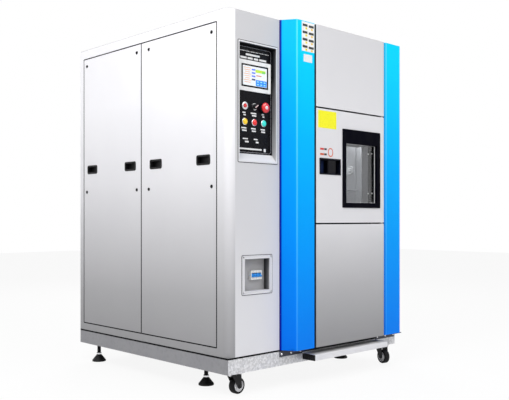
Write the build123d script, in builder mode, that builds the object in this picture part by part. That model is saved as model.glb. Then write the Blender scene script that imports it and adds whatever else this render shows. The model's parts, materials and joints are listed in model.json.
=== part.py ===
from build123d import *
import os
from math import cos, radians, sin

os.makedirs("parts", exist_ok=True)

# Cabinet, in millimetres: the front faces -Y, the floor is z = 0
body_width = 1320
body_depth = 1335
total_height = 1850
base_bottom = 110
base_height = 75
front_proud = 77
step_reach = 85
rear_reach = 35
plinth_gap = 4
plinth_inset = 6

# Sheet metal and gaps
sheet = 2
fold = 20
panel_gap = 3
seam_gap = 8
running_clearance = 0.05
fit_clearance = 0.5
body_clearance = 0.3
trim_radius = 4

# Horizontal seams of the three zones, from the floor
door_low_seam = 825
door_high_seam = 1425

# Frame
channel_wall = 5
channel_flange = 40
cross_width = 60
cross_shares = (1 / 3, 2 / 3)
pad_thickness = 8
pad_half = 45
post_width = 45
post_depth = 81
post_radius = 38
rear_post = 39
bottom_rail = 41
top_rail = 50
lip_width = 50
mullion_width = 110
mullion_depth = 38
side_seam = 705

# Fronts, measured from the left side unless a name says right
column_start = 344
column_chamfer = 48.5
left_column_face = 132.5
right_column_margin = 8
right_column_face = 143
column_bevel = 10
door_left_gap = 12
door_right_gap = 5
edge_radius = 9

# Door
hinge_inset = 14
hinge_setback = 12
boss_radius = 10.5
boss_height = 22
arm_half = 13
pin_radius = 6
pin_length = 18
bracket_plate = 5
gasket_width = 30
gasket_margin = 4
gasket_radii = (20, 4)
door_back_gap = 12
opening_right_margin = 51
opening_left_margin = 73
opening_end_margin = 66
plug_clearance = 8
plug_depth = 45
plug_taper = 8
window_width = 327
window_height = 421
window_right_margin = 44
window_bottom_margin = 80
window_band = 29
window_low_band = 27
window_top_band = 75
window_recess = 19
pane_thickness = 6
pane_ledge = 5
plug_lip = 4
flange_lap = 12
trim_proud = 4
handle_left_margin = 24
handle_width = 169
handle_height = 85
handle_low_margin = 251
handle_depth = 30
handle_step = 4
cup_shell = 2.5
paddle_width = 62
paddle_shift = 15
paddle_gap = 3
paddle_thickness = 10
paddle_edge = 3
paddle_pin = 3
paddle_barrel = 6

# Control panel
recess_left = 71
recess_width = 251
recess_height = 569
recess_top_margin = 150
recess_depth = 30
sill_rise = 37
plate_thickness = 3
rim = 5
touch_width = 216
touch_height = 150
touch_top_margin = 76
touch_proud = 8
touch_rear = 12
touch_depth = 25
touch_corner = 6
screen_width = 182
screen_height = 112
screen_inset = 1.5
switch_pitch = 64
switch_row_margin = 299
lamp_row_drop = 77
stem_radius = 10
stem_length = 20
barrel_radius = 13
barrel_length = 16
collar_height = 5
collar_radii = (19, 17, 17)
cap_proud = 4
cap_edge = 1.2
press_travel = 3
knob_radius = 14
knob_height = 4
lever_length = 30
lever_width = 8
lever_height = 12
lever_tilt = 35
mushroom_radius = 25
mushroom_height = 13
mushroom_slope = (8, 5)
emergency_travel = 5
emergency_gap = 2
lamp_flange = 18
lens_radius = 16
lens_height = 7
lens_slope = 20

# Breaker pocket
pocket_left = 89
pocket_width = 202
pocket_height = 188
pocket_rise = 295
pocket_rim = 16
pocket_depth = 40
breaker_width = 72
breaker_height = 45
breaker_proud = 18
breaker_shift = (16, -4)
breaker_shoulder = 20
breaker_body = 50
slot_margin = 3
slot_half = 11
axle_small = 2.5
toggle_radius = 8
toggle_width = 10
toggle_thickness = 6
toggle_reach = 16
toggle_rest = 25
tie_thickness = 4
tie_setback = 5
poles = 4

# Step
step_left = 516
step_right_margin = 180
step_height = 30
step_rise = 13
step_depth = 85
step_fold = 3
cap_thickness = 4
rib_count = 3
rib_width = 4
rib_depth = 1
rib_margin = 8
tread_hole = 6
tread_hole_shift = 50

# Side panels and grips
grip_height = 1138
grip_width = 105
grip_tall = 50
grip_depth = 22
grip_corner = 10
grip_flange = (8, 7)
cup_wall = 2
screw_low_drop = 131
screw_top_drop = 43
screw_head = 7
screw_proud = 4
screw_slope = 32
screw_sides = 12
nut_radius = 4
nut_sides = 6

# Casters and feet
wheel_radius = 40
wheel_width = 34
wheel_lift = 2
wheel_trail = 30
axle_radius = 5
kingpin_radius = 8
kingpin_washer = 12
kingpin_head = 3
crown_gap = 8
crown_thickness = 8
crown_length = 50
race_radius = 22
leg_thickness = 4
leg_gap = 2.5
leg_boss = 13
axle_proud = 2
hub_radius = 14
hub_proud = 1.5
tread_edge = 6
caster_side = 72
caster_front = 52
rear_caster_side = 360
caster_plate = 6
plate_length = 88
plate_width = 64
foot_radius = 40
foot_stem = 10
foot_rim = 7
foot_neck = 15
foot_cone = 38
foot_reserve = 40
foot_nut = (40, 50)
lock_nut_drop = (16, 5)
nut_across = 16
foot_front_side = 125
foot_front_depth = 310
foot_rear_side = 72
foot_rear_depth = 1243

# Rear panel and its fittings
louvre_length = 380
louvre_height = 16
louvre_reach = 10
louvre_pitch = 34
louvre_rows = 12
louvre_low = 340
louvre_bank = 250
louvre_bulge = (0.8, 0.6)
rear_screw_margin = 14
rear_screw_end = 60
fitting_height = 80
gland_margin = 200
gland_radius = 16
gland_bore = 10
gland_nut = 24
gland_nut_height = 12
drain_margin = 260
drain_bore = 7
drain_flange = 20
drain_flange_height = 6
fitting_root = 14

# Chambers inside
test_depth = 400
casing_wall = 60
casing_rear = 90
cavity_front = 60
cavity_back_gap = 30
cavity_margin = 15
zone_wall = 70
casing_gap = 5
port_width = 260
port_depth = 160
port_front = 100
damper_thickness = 10
damper_overlap = 8
damper_shaft = 5
damper_seat = 0.5
damper_tail = 6
lug_thickness = 12
lug_gap = 1
lug_height = 20
rack_depths = (80, 330)
rack_width = 16
rack_thickness = 6
rack_margin = 12
peg_radius = 4
peg_length = 8
peg_margin = 45
shelf_rod = 3
shelf_wire = 1.5
shelf_wires = 14
shelf_gap = 3
shelf_overhang = 20
shelf_height = 1010
fan_radius = 110
fan_width = 50
fan_drop = 140
fan_rise = 260
shaft_radius = 8
motor_radius = 60
motor_length = 150
motor_flange = 15
motor_plate = 6
motor_bore = 30
shaft_gap = 4
shaft_reach = 25
fan_gap = 12
fan_disc = 3
blade_count = 10
blade_span = (0.67, 0.97)
blade_turn = 55
compressor_radius = 105
compressor_height = 300
compressor_pitch = 360
compressor_slope = 60
tray_width = 840
tray_thickness = 20
tray_gap = 30
condenser_width = 860
condenser_height = 480
condenser_frame = 15
condenser_fins = 18
condenser_depths = (130, 60)
fin_thickness = 2

overall_depth = step_reach + body_depth + rear_reach
y_face = step_reach - overall_depth / 2
y_back = y_face + body_depth
y_proud = y_face - front_proud
y_mid = (y_face + y_back) / 2
x_left = -body_width / 2
x_right = body_width / 2
base_top = base_bottom + base_height
body_bottom = base_top + plinth_gap
roof_under = total_height - sheet


def from_left(distance):
    return x_left + distance


def from_front(distance):
    return y_face + distance


def mid(span):
    return (span[0] + span[1]) / 2


def grown(span, margin):
    """A span widened at both ends."""
    return (span[0] - margin, span[1] + margin)


def save(piece, name):
    piece.label = name
    export_step(piece, f"parts/{name}.step")


def block(x_span, y_span, z_span, mode=Mode.ADD):
    """A bar or sheet drawn on its lower face and raised to its upper one."""
    with BuildSketch(Plane.XY.offset(z_span[0])) as outline:
        with Locations((mid(x_span), mid(y_span))):
            Rectangle(x_span[1] - x_span[0], y_span[1] - y_span[0])
    extrude(outline.sketch, amount=z_span[1] - z_span[0], mode=mode)


def front_block(x_span, z_span, y_span, radius=0, mode=Mode.ADD):
    """A piece with rounded corners in the front view, carried back from its front face."""
    width, height = x_span[1] - x_span[0], z_span[1] - z_span[0]
    with BuildSketch(Plane.XZ.offset(-y_span[0])) as outline:
        with Locations((mid(x_span), mid(z_span))):
            if radius:
                RectangleRounded(width, height, radius)
            else:
                Rectangle(width, height)
    extrude(outline.sketch, amount=y_span[0] - y_span[1], mode=mode)


def side_block(side, y_span, z_span, depth_span, radius=0, mode=Mode.ADD):
    """A piece seen from one side of the cabinet, with its depth measured inward from that side."""
    with BuildSketch(Plane.YZ.offset(side * (x_right - depth_span[0]))) as outline:
        with Locations((mid(y_span), mid(z_span))):
            if radius:
                RectangleRounded(y_span[1] - y_span[0], z_span[1] - z_span[0], radius)
            else:
                Rectangle(y_span[1] - y_span[0], z_span[1] - z_span[0])
    extrude(outline.sketch, amount=-side * (depth_span[1] - depth_span[0]), mode=mode)


def rod(start, axis_plane, radius, length, mode=Mode.ADD):
    """A round bar from a point along a plane's normal."""
    with BuildSketch(Plane(origin=start, x_dir=axis_plane.x_dir, z_dir=axis_plane.z_dir)) as outline:
        Circle(radius)
    extrude(outline.sketch, amount=length, mode=mode)


def nut(start, axis_plane, radius, length, mode=Mode.ADD):
    """A hexagonal bar from a point along a plane's normal."""
    with BuildSketch(Plane(origin=start, x_dir=axis_plane.x_dir, z_dir=axis_plane.z_dir)) as outline:
        RegularPolygon(radius, nut_sides)
    extrude(outline.sketch, amount=length, mode=mode)


def folded(points, radius, z_span):
    """An upright folded sheet open to the rear: walls along the bend line and a cap at each end."""
    with BuildSketch(Plane.XY.offset(z_span[0])) as wall:
        with BuildLine():
            FilletPolyline(*points, radius=radius)
            offset(amount=sheet, side=Side.LEFT)
        make_face()
        split(bisect_by=Plane.XZ.offset(-points[0][1]), keep=Keep.TOP)
    extrude(wall.sketch, amount=z_span[1] - z_span[0])
    for level in (z_span[0], z_span[1] - sheet):
        with BuildSketch(Plane.XY.offset(level)) as cap:
            with BuildLine():
                FilletPolyline(*points, radius=radius)
                Line(points[-1], points[0])
            make_face()
        extrude(cap.sketch, amount=sheet)


# Fronts in plan, from the left side of the cabinet to the right one
left_column = (from_left(column_start), from_left(column_start + column_chamfer + left_column_face))
right_column_end = x_right - right_column_margin
right_column = (right_column_end - column_chamfer - right_column_face, right_column_end)
door_x = (left_column[1] + door_left_gap, right_column[0] - door_right_gap)
door_z = (door_low_seam + seam_gap / 2, door_high_seam - seam_gap / 2)
hinge_x = door_x[1] - hinge_inset
hinge_y = y_proud + hinge_setback
opening_x = (door_x[0] + opening_left_margin, hinge_x - opening_right_margin)
opening_z = (door_z[0] + opening_end_margin, door_z[1] - opening_end_margin)
door_back = y_face - door_back_gap
inner_y = (y_face + fold, y_face + fold + mullion_depth)
panel_z = (body_bottom + bottom_rail, roof_under - top_rail)
side_y = (y_face + post_depth, y_back - rear_post)
seam_y = from_front(side_seam)

# Base frame: a perimeter channel, two cross members, pads for casters and feet, and the deck
caster_points = [
    (from_left(caster_side), from_front(caster_front)),
    (x_right - caster_side, from_front(caster_front)),
    (from_left(rear_caster_side), y_back - caster_front),
    (x_right - rear_caster_side, y_back - caster_front),
]
foot_points = [
    (from_left(foot_front_side), from_front(foot_front_depth)),
    (x_right - foot_front_side, from_front(foot_front_depth)),
    (from_left(foot_rear_side), from_front(foot_rear_depth)),
    (x_right - foot_rear_side, from_front(foot_rear_depth)),
]
with BuildPart() as base_frame:
    base_z = (base_bottom, base_top)
    block((x_left, x_right), (y_face, y_back), base_z)
    block(grown((x_left, x_right), -channel_wall), grown((y_face, y_back), -channel_wall), base_z, Mode.SUBTRACT)
    for level in (base_bottom, base_top - channel_wall):
        with BuildSketch(Plane.XY.offset(level)) as flange:
            with Locations((0, y_mid)):
                Rectangle(body_width, body_depth)
                Rectangle(body_width - 2 * channel_flange, body_depth - 2 * channel_flange, mode=Mode.SUBTRACT)
        extrude(flange.sketch, amount=channel_wall)
    for share in cross_shares:
        cross = y_face + body_depth * share
        cross_y = (cross - cross_width / 2, cross + cross_width / 2)
        cross_x = grown((x_left, x_right), -channel_wall)
        cross_z = (base_bottom + channel_wall, base_top)
        block(cross_x, cross_y, cross_z)
        cut_z = (cross_z[0], base_top - channel_wall)
        block(cross_x, grown(cross_y, -channel_wall), cut_z, Mode.SUBTRACT)
    pad_z = (base_bottom, base_bottom + pad_thickness)
    for x, y in caster_points:
        y_end = y_face + channel_wall if y < y_mid else y_back - channel_wall
        block(grown((x, x), pad_half), (min(y - pad_half, y_end), max(y + pad_half, y_end)), pad_z)
    for x, y in foot_points:
        x_end = x_left + channel_wall if x < 0 else x_right - channel_wall
        block((min(x - pad_half, x_end), max(x + pad_half, x_end)), grown((y, y), pad_half), pad_z)
    foot_hole_z = (base_bottom - plinth_gap, base_bottom + pad_thickness + plinth_gap)
    for x, y in foot_points:
        rod((x, y, foot_hole_z[0]), Plane.XY, foot_stem + running_clearance, foot_hole_z[1] - foot_hole_z[0],
            Mode.SUBTRACT)
    deck_x = grown((x_left, x_right), -plinth_inset)
    block(deck_x, grown((y_face, y_back), -plinth_inset), (base_top, body_bottom))
save(base_frame.part, "base_frame")

# Cabinet frame: rounded corner posts, rear posts, rails, mullions and the lips that the panels seat on
rest_depth = fold + sheet
with BuildPart() as body_frame:
    post_z = (body_bottom, roof_under)
    with BuildSketch(Plane.XY.offset(body_bottom)) as corner_post:
        with Locations((x_left + post_width / 2, y_face + post_depth / 2)):
            Rectangle(post_width, post_depth)
        fillet(corner_post.vertices().sort_by_distance((x_left, y_face, body_bottom))[0], radius=post_radius)
        offset(amount=-sheet, mode=Mode.SUBTRACT)
    extrude(corner_post.sketch, amount=roof_under - body_bottom)
    rear_x, rear_y = (x_left, x_left + rear_post), (y_back - rear_post, y_back)
    block(rear_x, rear_y, post_z)
    block(grown(rear_x, -sheet), grown(rear_y, -sheet), post_z, Mode.SUBTRACT)
    rails = [(body_bottom, panel_z[0]), (panel_z[1], roof_under)]
    for rail_z in rails:
        block((x_left, x_left + rear_post), side_y, rail_z)
        block((x_left + sheet, x_left + rear_post), side_y, grown(rail_z, -sheet), Mode.SUBTRACT)
        block((x_left + rear_post, 0), rear_y, rail_z)
        block((x_left + rear_post, 0), (rear_y[0], rear_y[1] - sheet), grown(rail_z, -sheet), Mode.SUBTRACT)
        block((x_left + post_width, 0), inner_y, rail_z)
        block((x_left + post_width, 0), (inner_y[0] + sheet, inner_y[1]), grown(rail_z, -sheet), Mode.SUBTRACT)
    side_block(-1, side_y, panel_z, (fold, rest_depth))
    seat_z = grown(panel_z, -lip_width / 2)
    seat_y = [(side_y[0] + lip_width, seam_y - mullion_width / 2), (seam_y + mullion_width / 2, side_y[1] - lip_width)]
    for y_span in seat_y:
        side_block(-1, y_span, seat_z, (fold, rest_depth), mode=Mode.SUBTRACT)
    mullion_y = (seam_y - mullion_width / 2, seam_y + mullion_width / 2)
    side_block(-1, mullion_y, panel_z, (rest_depth, rest_depth + mullion_depth - sheet))
    side_block(-1, grown(mullion_y, -sheet), panel_z, (rest_depth, rest_depth + mullion_depth - 2 * sheet),
               mode=Mode.SUBTRACT)
    lip_y = (y_back - rest_depth, y_back - fold)
    front_block((x_left + rear_post, 0), panel_z, lip_y)
    front_block((x_left + rear_post + lip_width, 0), seat_z, lip_y, mode=Mode.SUBTRACT)
    zone_rail_y = (from_front(cavity_front + test_depth), from_front(cavity_front + test_depth + cross_width))
    block((x_left + rear_post, 0), zone_rail_y, rails[0])
    block((x_left + rear_post, 0), grown(zone_rail_y, -sheet), (rails[0][0], rails[0][1] - sheet), Mode.SUBTRACT)
    mirror(about=Plane.YZ)
save(body_frame.part, "body_frame")

with BuildPart() as roof_panel:
    with BuildSketch(Plane.XY.offset(roof_under)) as roof_outline:
        with Locations((0, y_mid)):
            Rectangle(body_width, body_depth)
        fillet(roof_outline.vertices().group_by(Axis.Y)[0], radius=post_radius)
    extrude(roof_outline.sketch, amount=sheet)
save(roof_panel.part, "roof_panel")

# Rear panel: a pan with two banks of louvres, each a hood pressed out over a slot
rear_span = grown((x_left + rear_post, x_right - rear_post), -panel_gap)
rear_z = grown(panel_z, -panel_gap)
gland_x = x_right - gland_margin
drain_x = from_left(drain_margin)
fitting_z = body_bottom + fitting_height
with BuildPart() as louvre_hood:
    with BuildSketch(Plane.YZ.offset(-louvre_length / 2)) as hood_side:
        with BuildLine():
            crown = (louvre_reach, 0)
            bulge = (louvre_reach * louvre_bulge[0], louvre_height * louvre_bulge[1])
            Line((-sheet, louvre_height), (-sheet, 0))
            Line((-sheet, 0), crown)
            ThreePointArc(crown, bulge, (-sheet, louvre_height))
        make_face()
    extrude(hood_side.sketch, amount=louvre_length)
with BuildPart() as louvre_hollow:
    with BuildSketch(Plane.YZ.offset(-louvre_length / 2 + sheet)) as hollow_side:
        with BuildLine():
            crown = (louvre_reach - sheet, -sheet)
            Line((-2 * sheet, louvre_height - sheet), (-2 * sheet, -sheet))
            Line((-2 * sheet, -sheet), crown)
            ThreePointArc(crown, (bulge[0] - sheet, bulge[1] - sheet), (-2 * sheet, louvre_height - sheet))
        make_face()
    extrude(hollow_side.sketch, amount=louvre_length - 2 * sheet)
with BuildPart() as rear_panel:
    front_block(rear_span, rear_z, (y_back - fold, y_back))
    front_block(grown(rear_span, -sheet), grown(rear_z, -sheet), (y_back - fold, y_back - sheet), mode=Mode.SUBTRACT)
    louvre_places = [
        (bank * louvre_bank, y_back, louvre_low + row * louvre_pitch)
        for bank in (-1, 1)
        for row in range(louvre_rows)
    ]
    with Locations(*louvre_places):
        add(louvre_hood.part)
    with Locations(*louvre_places):
        add(louvre_hollow.part, mode=Mode.SUBTRACT)
    hole_start = y_back - sheet - plinth_gap
    rod((gland_x, hole_start, fitting_z), Plane.ZX, gland_radius, fold, Mode.SUBTRACT)
    rod((drain_x, hole_start, fitting_z), Plane.ZX, stem_radius, fold, Mode.SUBTRACT)
    rear_screw_x = grown(rear_span, -rear_screw_margin)
    rear_screw_z = (rear_z[0] + rear_screw_end, mid(rear_z), rear_z[1] - rear_screw_end)
    rear_screws = [(x, z) for x in rear_screw_x for z in rear_screw_z]
    for x, z in rear_screws:
        nut((x, hole_start, z), Plane.ZX, nut_radius, fold, Mode.SUBTRACT)
save(rear_panel.part, "rear_panel")

# Side panels: folded pans with two grips and four screws each
front_pan = (side_y[0] + panel_gap, seam_y - panel_gap / 2)
rear_pan = (seam_y + panel_gap / 2, side_y[1] - panel_gap)
pan_z = grown(panel_z, -panel_gap)
screw_z = (pan_z[1] - screw_top_drop, grip_height - screw_low_drop)
grip_cut = (grip_width - 2 * grip_flange[0], grip_tall - 2 * grip_flange[1])
pans = {"front": front_pan, "rear": rear_pan}
screw_margin = {"front": (36, 68), "rear": (40, 34)}
grip_margin = {"front": (99, 130), "rear": (103, 93)}


def grip_spots(place):
    near, far = grip_margin[place]
    return [pans[place][0] + near, pans[place][1] - far]


def screw_spots(place):
    near, far = screw_margin[place]
    return [(y, z) for y in (pans[place][0] + near, pans[place][1] - far) for z in screw_z]


def side_pan(side, place):
    """One lift-off side panel."""
    pan = pans[place]
    with BuildPart() as panel:
        side_block(side, pan, pan_z, (0, fold))
        side_block(side, grown(pan, -sheet), grown(pan_z, -sheet), (sheet, fold), mode=Mode.SUBTRACT)
        for y in grip_spots(place):
            spot = (y - grip_cut[0] / 2, y + grip_cut[0] / 2)
            tall = (grip_height - grip_cut[1] / 2, grip_height + grip_cut[1] / 2)
            side_block(side, spot, tall, (0, sheet), mode=Mode.SUBTRACT)
        for y, z in screw_spots(place):
            nut((side * x_right, y, z), Plane.YZ, nut_radius, -side * sheet, Mode.SUBTRACT)
    return panel.part


for side, side_name in ((-1, "left"), (1, "right")):
    for place in pans:
        save(side_pan(side, place), f"{side_name}_{place}_panel")

# Panel grips: eight recessed cups with a thin flange
with BuildPart() as panel_grips:
    for side in (-1, 1):
        for y in grip_spots("front") + grip_spots("rear"):
            flange_y = (y - grip_width / 2, y + grip_width / 2)
            flange_z = (grip_height - grip_tall / 2, grip_height + grip_tall / 2)
            cup_y = (y - grip_cut[0] / 2, y + grip_cut[0] / 2)
            cup_z = (grip_height - grip_cut[1] / 2, grip_height + grip_cut[1] / 2)
            side_block(side, flange_y, flange_z, (-cup_wall, 0), grip_corner)
            side_block(side, cup_y, cup_z, (0, grip_depth + cup_wall))
            side_block(side, grown(cup_y, -cup_wall), grown(cup_z, -cup_wall), (-cup_wall, grip_depth),
                       mode=Mode.SUBTRACT)
save(panel_grips.part, "panel_grips")

# Dome-head screws of the side panels, the rear panel and the column brackets
bracket_thickness = 3
bracket_drop = 31
bracket_inset = 6
bolt_margin = 13
left_bracket = (from_left(column_start), from_left(column_start + 166))
right_bracket = (right_column[0] + 12, right_column[1] - 2)


def dome(plane, reach):
    """A screw: a low domed head on the plane, and behind it the hexagonal rivet nut that holds it."""
    with BuildSketch(plane) as head:
        RegularPolygon(screw_head, screw_sides)
    extrude(head.sketch, amount=screw_proud, taper=screw_slope)
    nut(plane.origin, plane, nut_radius, -reach)


bracket_bolts = [
    (x, base_top - bracket_drop / 2)
    for bracket in (left_bracket, right_bracket)
    for x in (bracket[0] + bolt_margin, mid(bracket), bracket[1] - bolt_margin)
]
with BuildPart() as dome_screws:
    for side in (-1, 1):
        for y, z in screw_spots("front") + screw_spots("rear"):
            dome(Plane(origin=(side * x_right, y, z), x_dir=(0, 1, 0), z_dir=(side, 0, 0)), fold)
    for x, z in rear_screws:
        dome(Plane(origin=(x, y_back, z), x_dir=(0, 0, 1), z_dir=(0, 1, 0)), fold)
    for x, z in bracket_bolts:
        dome(Plane(origin=(x, y_face - bracket_thickness, z), x_dir=(1, 0, 0), z_dir=(0, -1, 0)), bracket_thickness)
save(dome_screws.part, "dome_screws")

# Control column front: a folded sheet with cut-outs for the panel tray and the breaker pocket
recess_x = (from_left(recess_left), from_left(recess_left + recess_width))
recess_z = (total_height - recess_top_margin - recess_height, total_height - recess_top_margin)
tray_x, tray_z = grown(recess_x, sheet), grown(recess_z, sheet)
pocket_x = (from_left(pocket_left), from_left(pocket_left + pocket_width))
pocket_z = (body_bottom + pocket_rise, body_bottom + pocket_rise + pocket_height)
hole_x, hole_z = grown(pocket_x, -pocket_rim), grown(pocket_z, -pocket_rim)
with BuildPart() as control_column:
    front_x = (x_left + post_width, from_left(column_start))
    front_z = (body_bottom, roof_under)
    front_block(front_x, front_z, (y_face, y_face + fold))
    front_block(grown(front_x, -sheet), grown(front_z, -sheet), (y_face + sheet, y_face + fold), mode=Mode.SUBTRACT)
    front_block(tray_x, tray_z, (y_face, y_face + sheet), mode=Mode.SUBTRACT)
    front_block(grown(hole_x, sheet), grown(hole_z, sheet), (y_face, y_face + sheet), mode=Mode.SUBTRACT)
save(control_column.part, "control_column")

# Front fascia behind the door and the covers, with the mouth of the test zone
liner_x, liner_z = grown(opening_x, sheet), grown(opening_z, sheet)
with BuildPart() as front_fascia:
    fascia_x = (from_left(column_start), x_right - post_width)
    front_block(fascia_x, front_z, (y_face, y_face + fold))
    front_block(grown(fascia_x, -sheet), grown(front_z, -sheet), (y_face + sheet, y_face + fold), mode=Mode.SUBTRACT)
    front_block(liner_x, liner_z, (y_face, y_face + sheet), mode=Mode.SUBTRACT)
save(front_fascia.part, "front_fascia")

# Blue columns, folded with one sloped side
column_fold = 5
with BuildPart() as left_column_shell:
    folded(
        [
            (left_column[0], y_face),
            (left_column[0] + column_chamfer, y_proud),
            (left_column[1], y_proud),
            (left_column[1], y_face),
        ],
        column_fold,
        (body_bottom, total_height),
    )
save(left_column_shell.part, "left_column")

with BuildPart() as right_column_shell:
    folded(
        [
            (right_column[0], y_face),
            (right_column[0], y_proud + column_bevel),
            (right_column[0] + column_bevel, y_proud),
            (right_column[1] - column_chamfer, y_proud),
            (right_column[1], y_face),
        ],
        column_fold,
        (body_bottom, total_height),
    )
save(right_column_shell.part, "right_column")

# Dark brackets under the columns, each one bent from plate and bolted to the base
with BuildPart() as column_brackets:
    for bracket, column in ((left_bracket, left_column), (right_bracket, right_column)):
        block(bracket, (y_face - bracket_thickness, y_face), (base_top - bracket_drop, base_top))
        shelf_x = (max(bracket[0], column[0]) + column_chamfer / 2, min(bracket[1], column[1]) - column_chamfer / 2)
        block(shelf_x, (y_proud + bracket_inset, y_face), (base_top, body_bottom))
    for x, z in bracket_bolts:
        nut((x, y_face, z), Plane.XZ, nut_radius, bracket_thickness, Mode.SUBTRACT)
save(column_brackets.part, "column_brackets")


def cover(z_span):
    """A folded cover over the fascia, with a large radius at its two upright edges."""
    with BuildPart() as pan:
        points = [(door_x[0], y_face), (door_x[0], y_proud), (door_x[1], y_proud), (door_x[1], y_face)]
        folded(points, edge_radius, z_span)
    return pan.part


save(cover((door_high_seam + seam_gap / 2, total_height)), "upper_cover")
save(cover((body_bottom, door_low_seam - seam_gap / 2)), "lower_cover")

# Kick step: a folded channel on the base, with black ribbed end caps
step_x = (from_left(step_left), x_right - step_right_margin)
step_z = (base_bottom + step_rise, base_bottom + step_rise + step_height)
step_y = y_face - step_depth
with BuildPart() as kick_step:
    with BuildSketch(Plane.YZ.offset(step_x[0] + cap_thickness)) as step_section:
        with BuildLine():
            FilletPolyline(
                (y_face, step_z[1]), (step_y, step_z[1]), (step_y, step_z[0]), (step_y + step_depth / 2, step_z[0]),
                radius=step_fold,
            )
            offset(amount=sheet, side=Side.LEFT)
        make_face()
    extrude(step_section.sketch, amount=step_x[1] - step_x[0] - 2 * cap_thickness)
    hole_point = (mid(step_x) - tread_hole_shift, y_face - step_depth / 2, step_z[0] + 2 * sheet)
    rod(hole_point, Plane.XY, tread_hole, step_height, Mode.SUBTRACT)
save(kick_step.part, "kick_step")

with BuildPart() as step_end_caps:
    for start in (step_x[0], step_x[1] - cap_thickness):
        with BuildSketch(Plane.YZ.offset(start)) as cap_face:
            with Locations((y_face - step_depth / 2, mid(step_z))):
                Rectangle(step_depth, step_height)
            fillet(cap_face.vertices().group_by(Axis.X)[0], radius=step_fold)
        extrude(cap_face.sketch, amount=cap_thickness)
    for groove_x in ((step_x[0], step_x[0] + rib_depth), (step_x[1] - rib_depth, step_x[1])):
        for row in range(rib_count):
            groove_z = step_z[0] + (row + 1) * step_height / (rib_count + 1)
            groove_span = grown((groove_z, groove_z), rib_width / 2)
            block(groove_x, grown((step_y, y_face), -rib_margin), groove_span, Mode.SUBTRACT)
save(step_end_caps.part, "step_end_caps")

# Control panel: a tray with a sloped sill, the black plate at its back, and what the plate carries
y_plate = y_face + recess_depth
y_plate_back = y_plate + plate_thickness
touch_x = (mid(recess_x) - touch_width / 2, mid(recess_x) + touch_width / 2)
touch_z = (recess_z[1] - touch_top_margin - touch_height, recess_z[1] - touch_top_margin)
switch_z = recess_z[1] - switch_row_margin
lamp_z = switch_z - lamp_row_drop
switch_x = [mid(recess_x) + step * switch_pitch for step in (-1, 0, 1)]
with BuildPart() as control_bezel:
    front_block(tray_x, tray_z, (y_face, y_plate_back))
    front_block(grown(tray_x, rim), grown(tray_z, rim), (y_face - sheet, y_face))
    front_block(recess_x, recess_z, (y_face - sheet, y_plate_back), mode=Mode.SUBTRACT)
    with BuildSketch(Plane.YZ.offset(recess_x[0])) as sill:
        with BuildLine():
            Polyline((y_face, recess_z[0]), (y_plate_back, recess_z[0]), (y_plate_back, recess_z[0] + sill_rise),
                     (y_plate, recess_z[0] + sill_rise), (y_face, recess_z[0]))
        make_face()
    extrude(sill.sketch, amount=recess_width)
save(control_bezel.part, "control_bezel")

plate_z = (recess_z[0] + sill_rise, recess_z[1])
with BuildPart() as control_plate:
    front_block(recess_x, plate_z, (y_plate, y_plate_back))
    front_block(grown(touch_x, -touch_rear), grown(touch_z, -touch_rear), (y_plate, y_plate_back), mode=Mode.SUBTRACT)
    for z in (switch_z, lamp_z):
        for x in switch_x:
            rod((x, y_plate_back, z), Plane.XZ, barrel_radius, plate_thickness, Mode.SUBTRACT)
save(control_plate.part, "control_plate")

with BuildPart() as touch_panel:
    front_block(touch_x, touch_z, (y_plate - touch_proud, y_plate), touch_corner)
    front_block(grown(touch_x, -touch_rear), grown(touch_z, -touch_rear), (y_plate, y_plate_back + touch_depth))
    screen_x = (mid(touch_x) - screen_width / 2, mid(touch_x) + screen_width / 2)
    screen_z = (mid(touch_z) - screen_height / 2, mid(touch_z) + screen_height / 2)
    front_block(screen_x, screen_z, (y_plate - touch_proud, y_plate - touch_proud + screen_inset), mode=Mode.SUBTRACT)
save(touch_panel.part, "touch_panel")

# Switches: collars with a bore, and the stems that move in them
y_collar = y_plate - collar_height
with BuildPart() as switch_collars:
    for x, flange in zip(switch_x, collar_radii):
        rod((x, y_plate, switch_z), Plane.XZ, flange, collar_height)
        rod((x, y_plate + barrel_length, switch_z), Plane.XZ, barrel_radius, barrel_length)
        rod((x, y_plate + barrel_length, switch_z), Plane.XZ, stem_radius + running_clearance,
            barrel_length + collar_height, Mode.SUBTRACT)
save(switch_collars.part, "switch_collars")

with BuildPart() as power_button:
    rod((switch_x[0], y_collar + stem_length, switch_z), Plane.XZ, stem_radius, stem_length + cap_proud)
    chamfer(power_button.faces().sort_by(Axis.Y)[0].edges(), length=cap_edge)
save(power_button.part, "power_button")

with BuildPart() as mode_selector:
    rod((switch_x[1], y_collar + stem_length, switch_z), Plane.XZ, stem_radius, stem_length + body_clearance)
    rod((switch_x[1], y_collar - body_clearance, switch_z), Plane.XZ, knob_radius, knob_height)
    with BuildSketch(Plane.XZ.offset(-(y_collar - knob_height))) as lever:
        with Locations(Location((switch_x[1], switch_z), lever_tilt)):
            SlotOverall(lever_length, lever_width)
    extrude(lever.sketch, amount=lever_height)
save(mode_selector.part, "mode_selector")

head_back = y_collar - emergency_travel - emergency_gap
with BuildPart() as emergency_stop:
    rod((switch_x[2], y_collar + stem_length, switch_z), Plane.XZ, stem_radius, y_collar + stem_length - head_back)
    rod((switch_x[2], head_back, switch_z), Plane.XZ, mushroom_radius, mushroom_height)
    chamfer(emergency_stop.faces().sort_by(Axis.Y)[0].edges(), length=mushroom_slope[0], length2=mushroom_slope[1])
save(emergency_stop.part, "emergency_stop")

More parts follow.
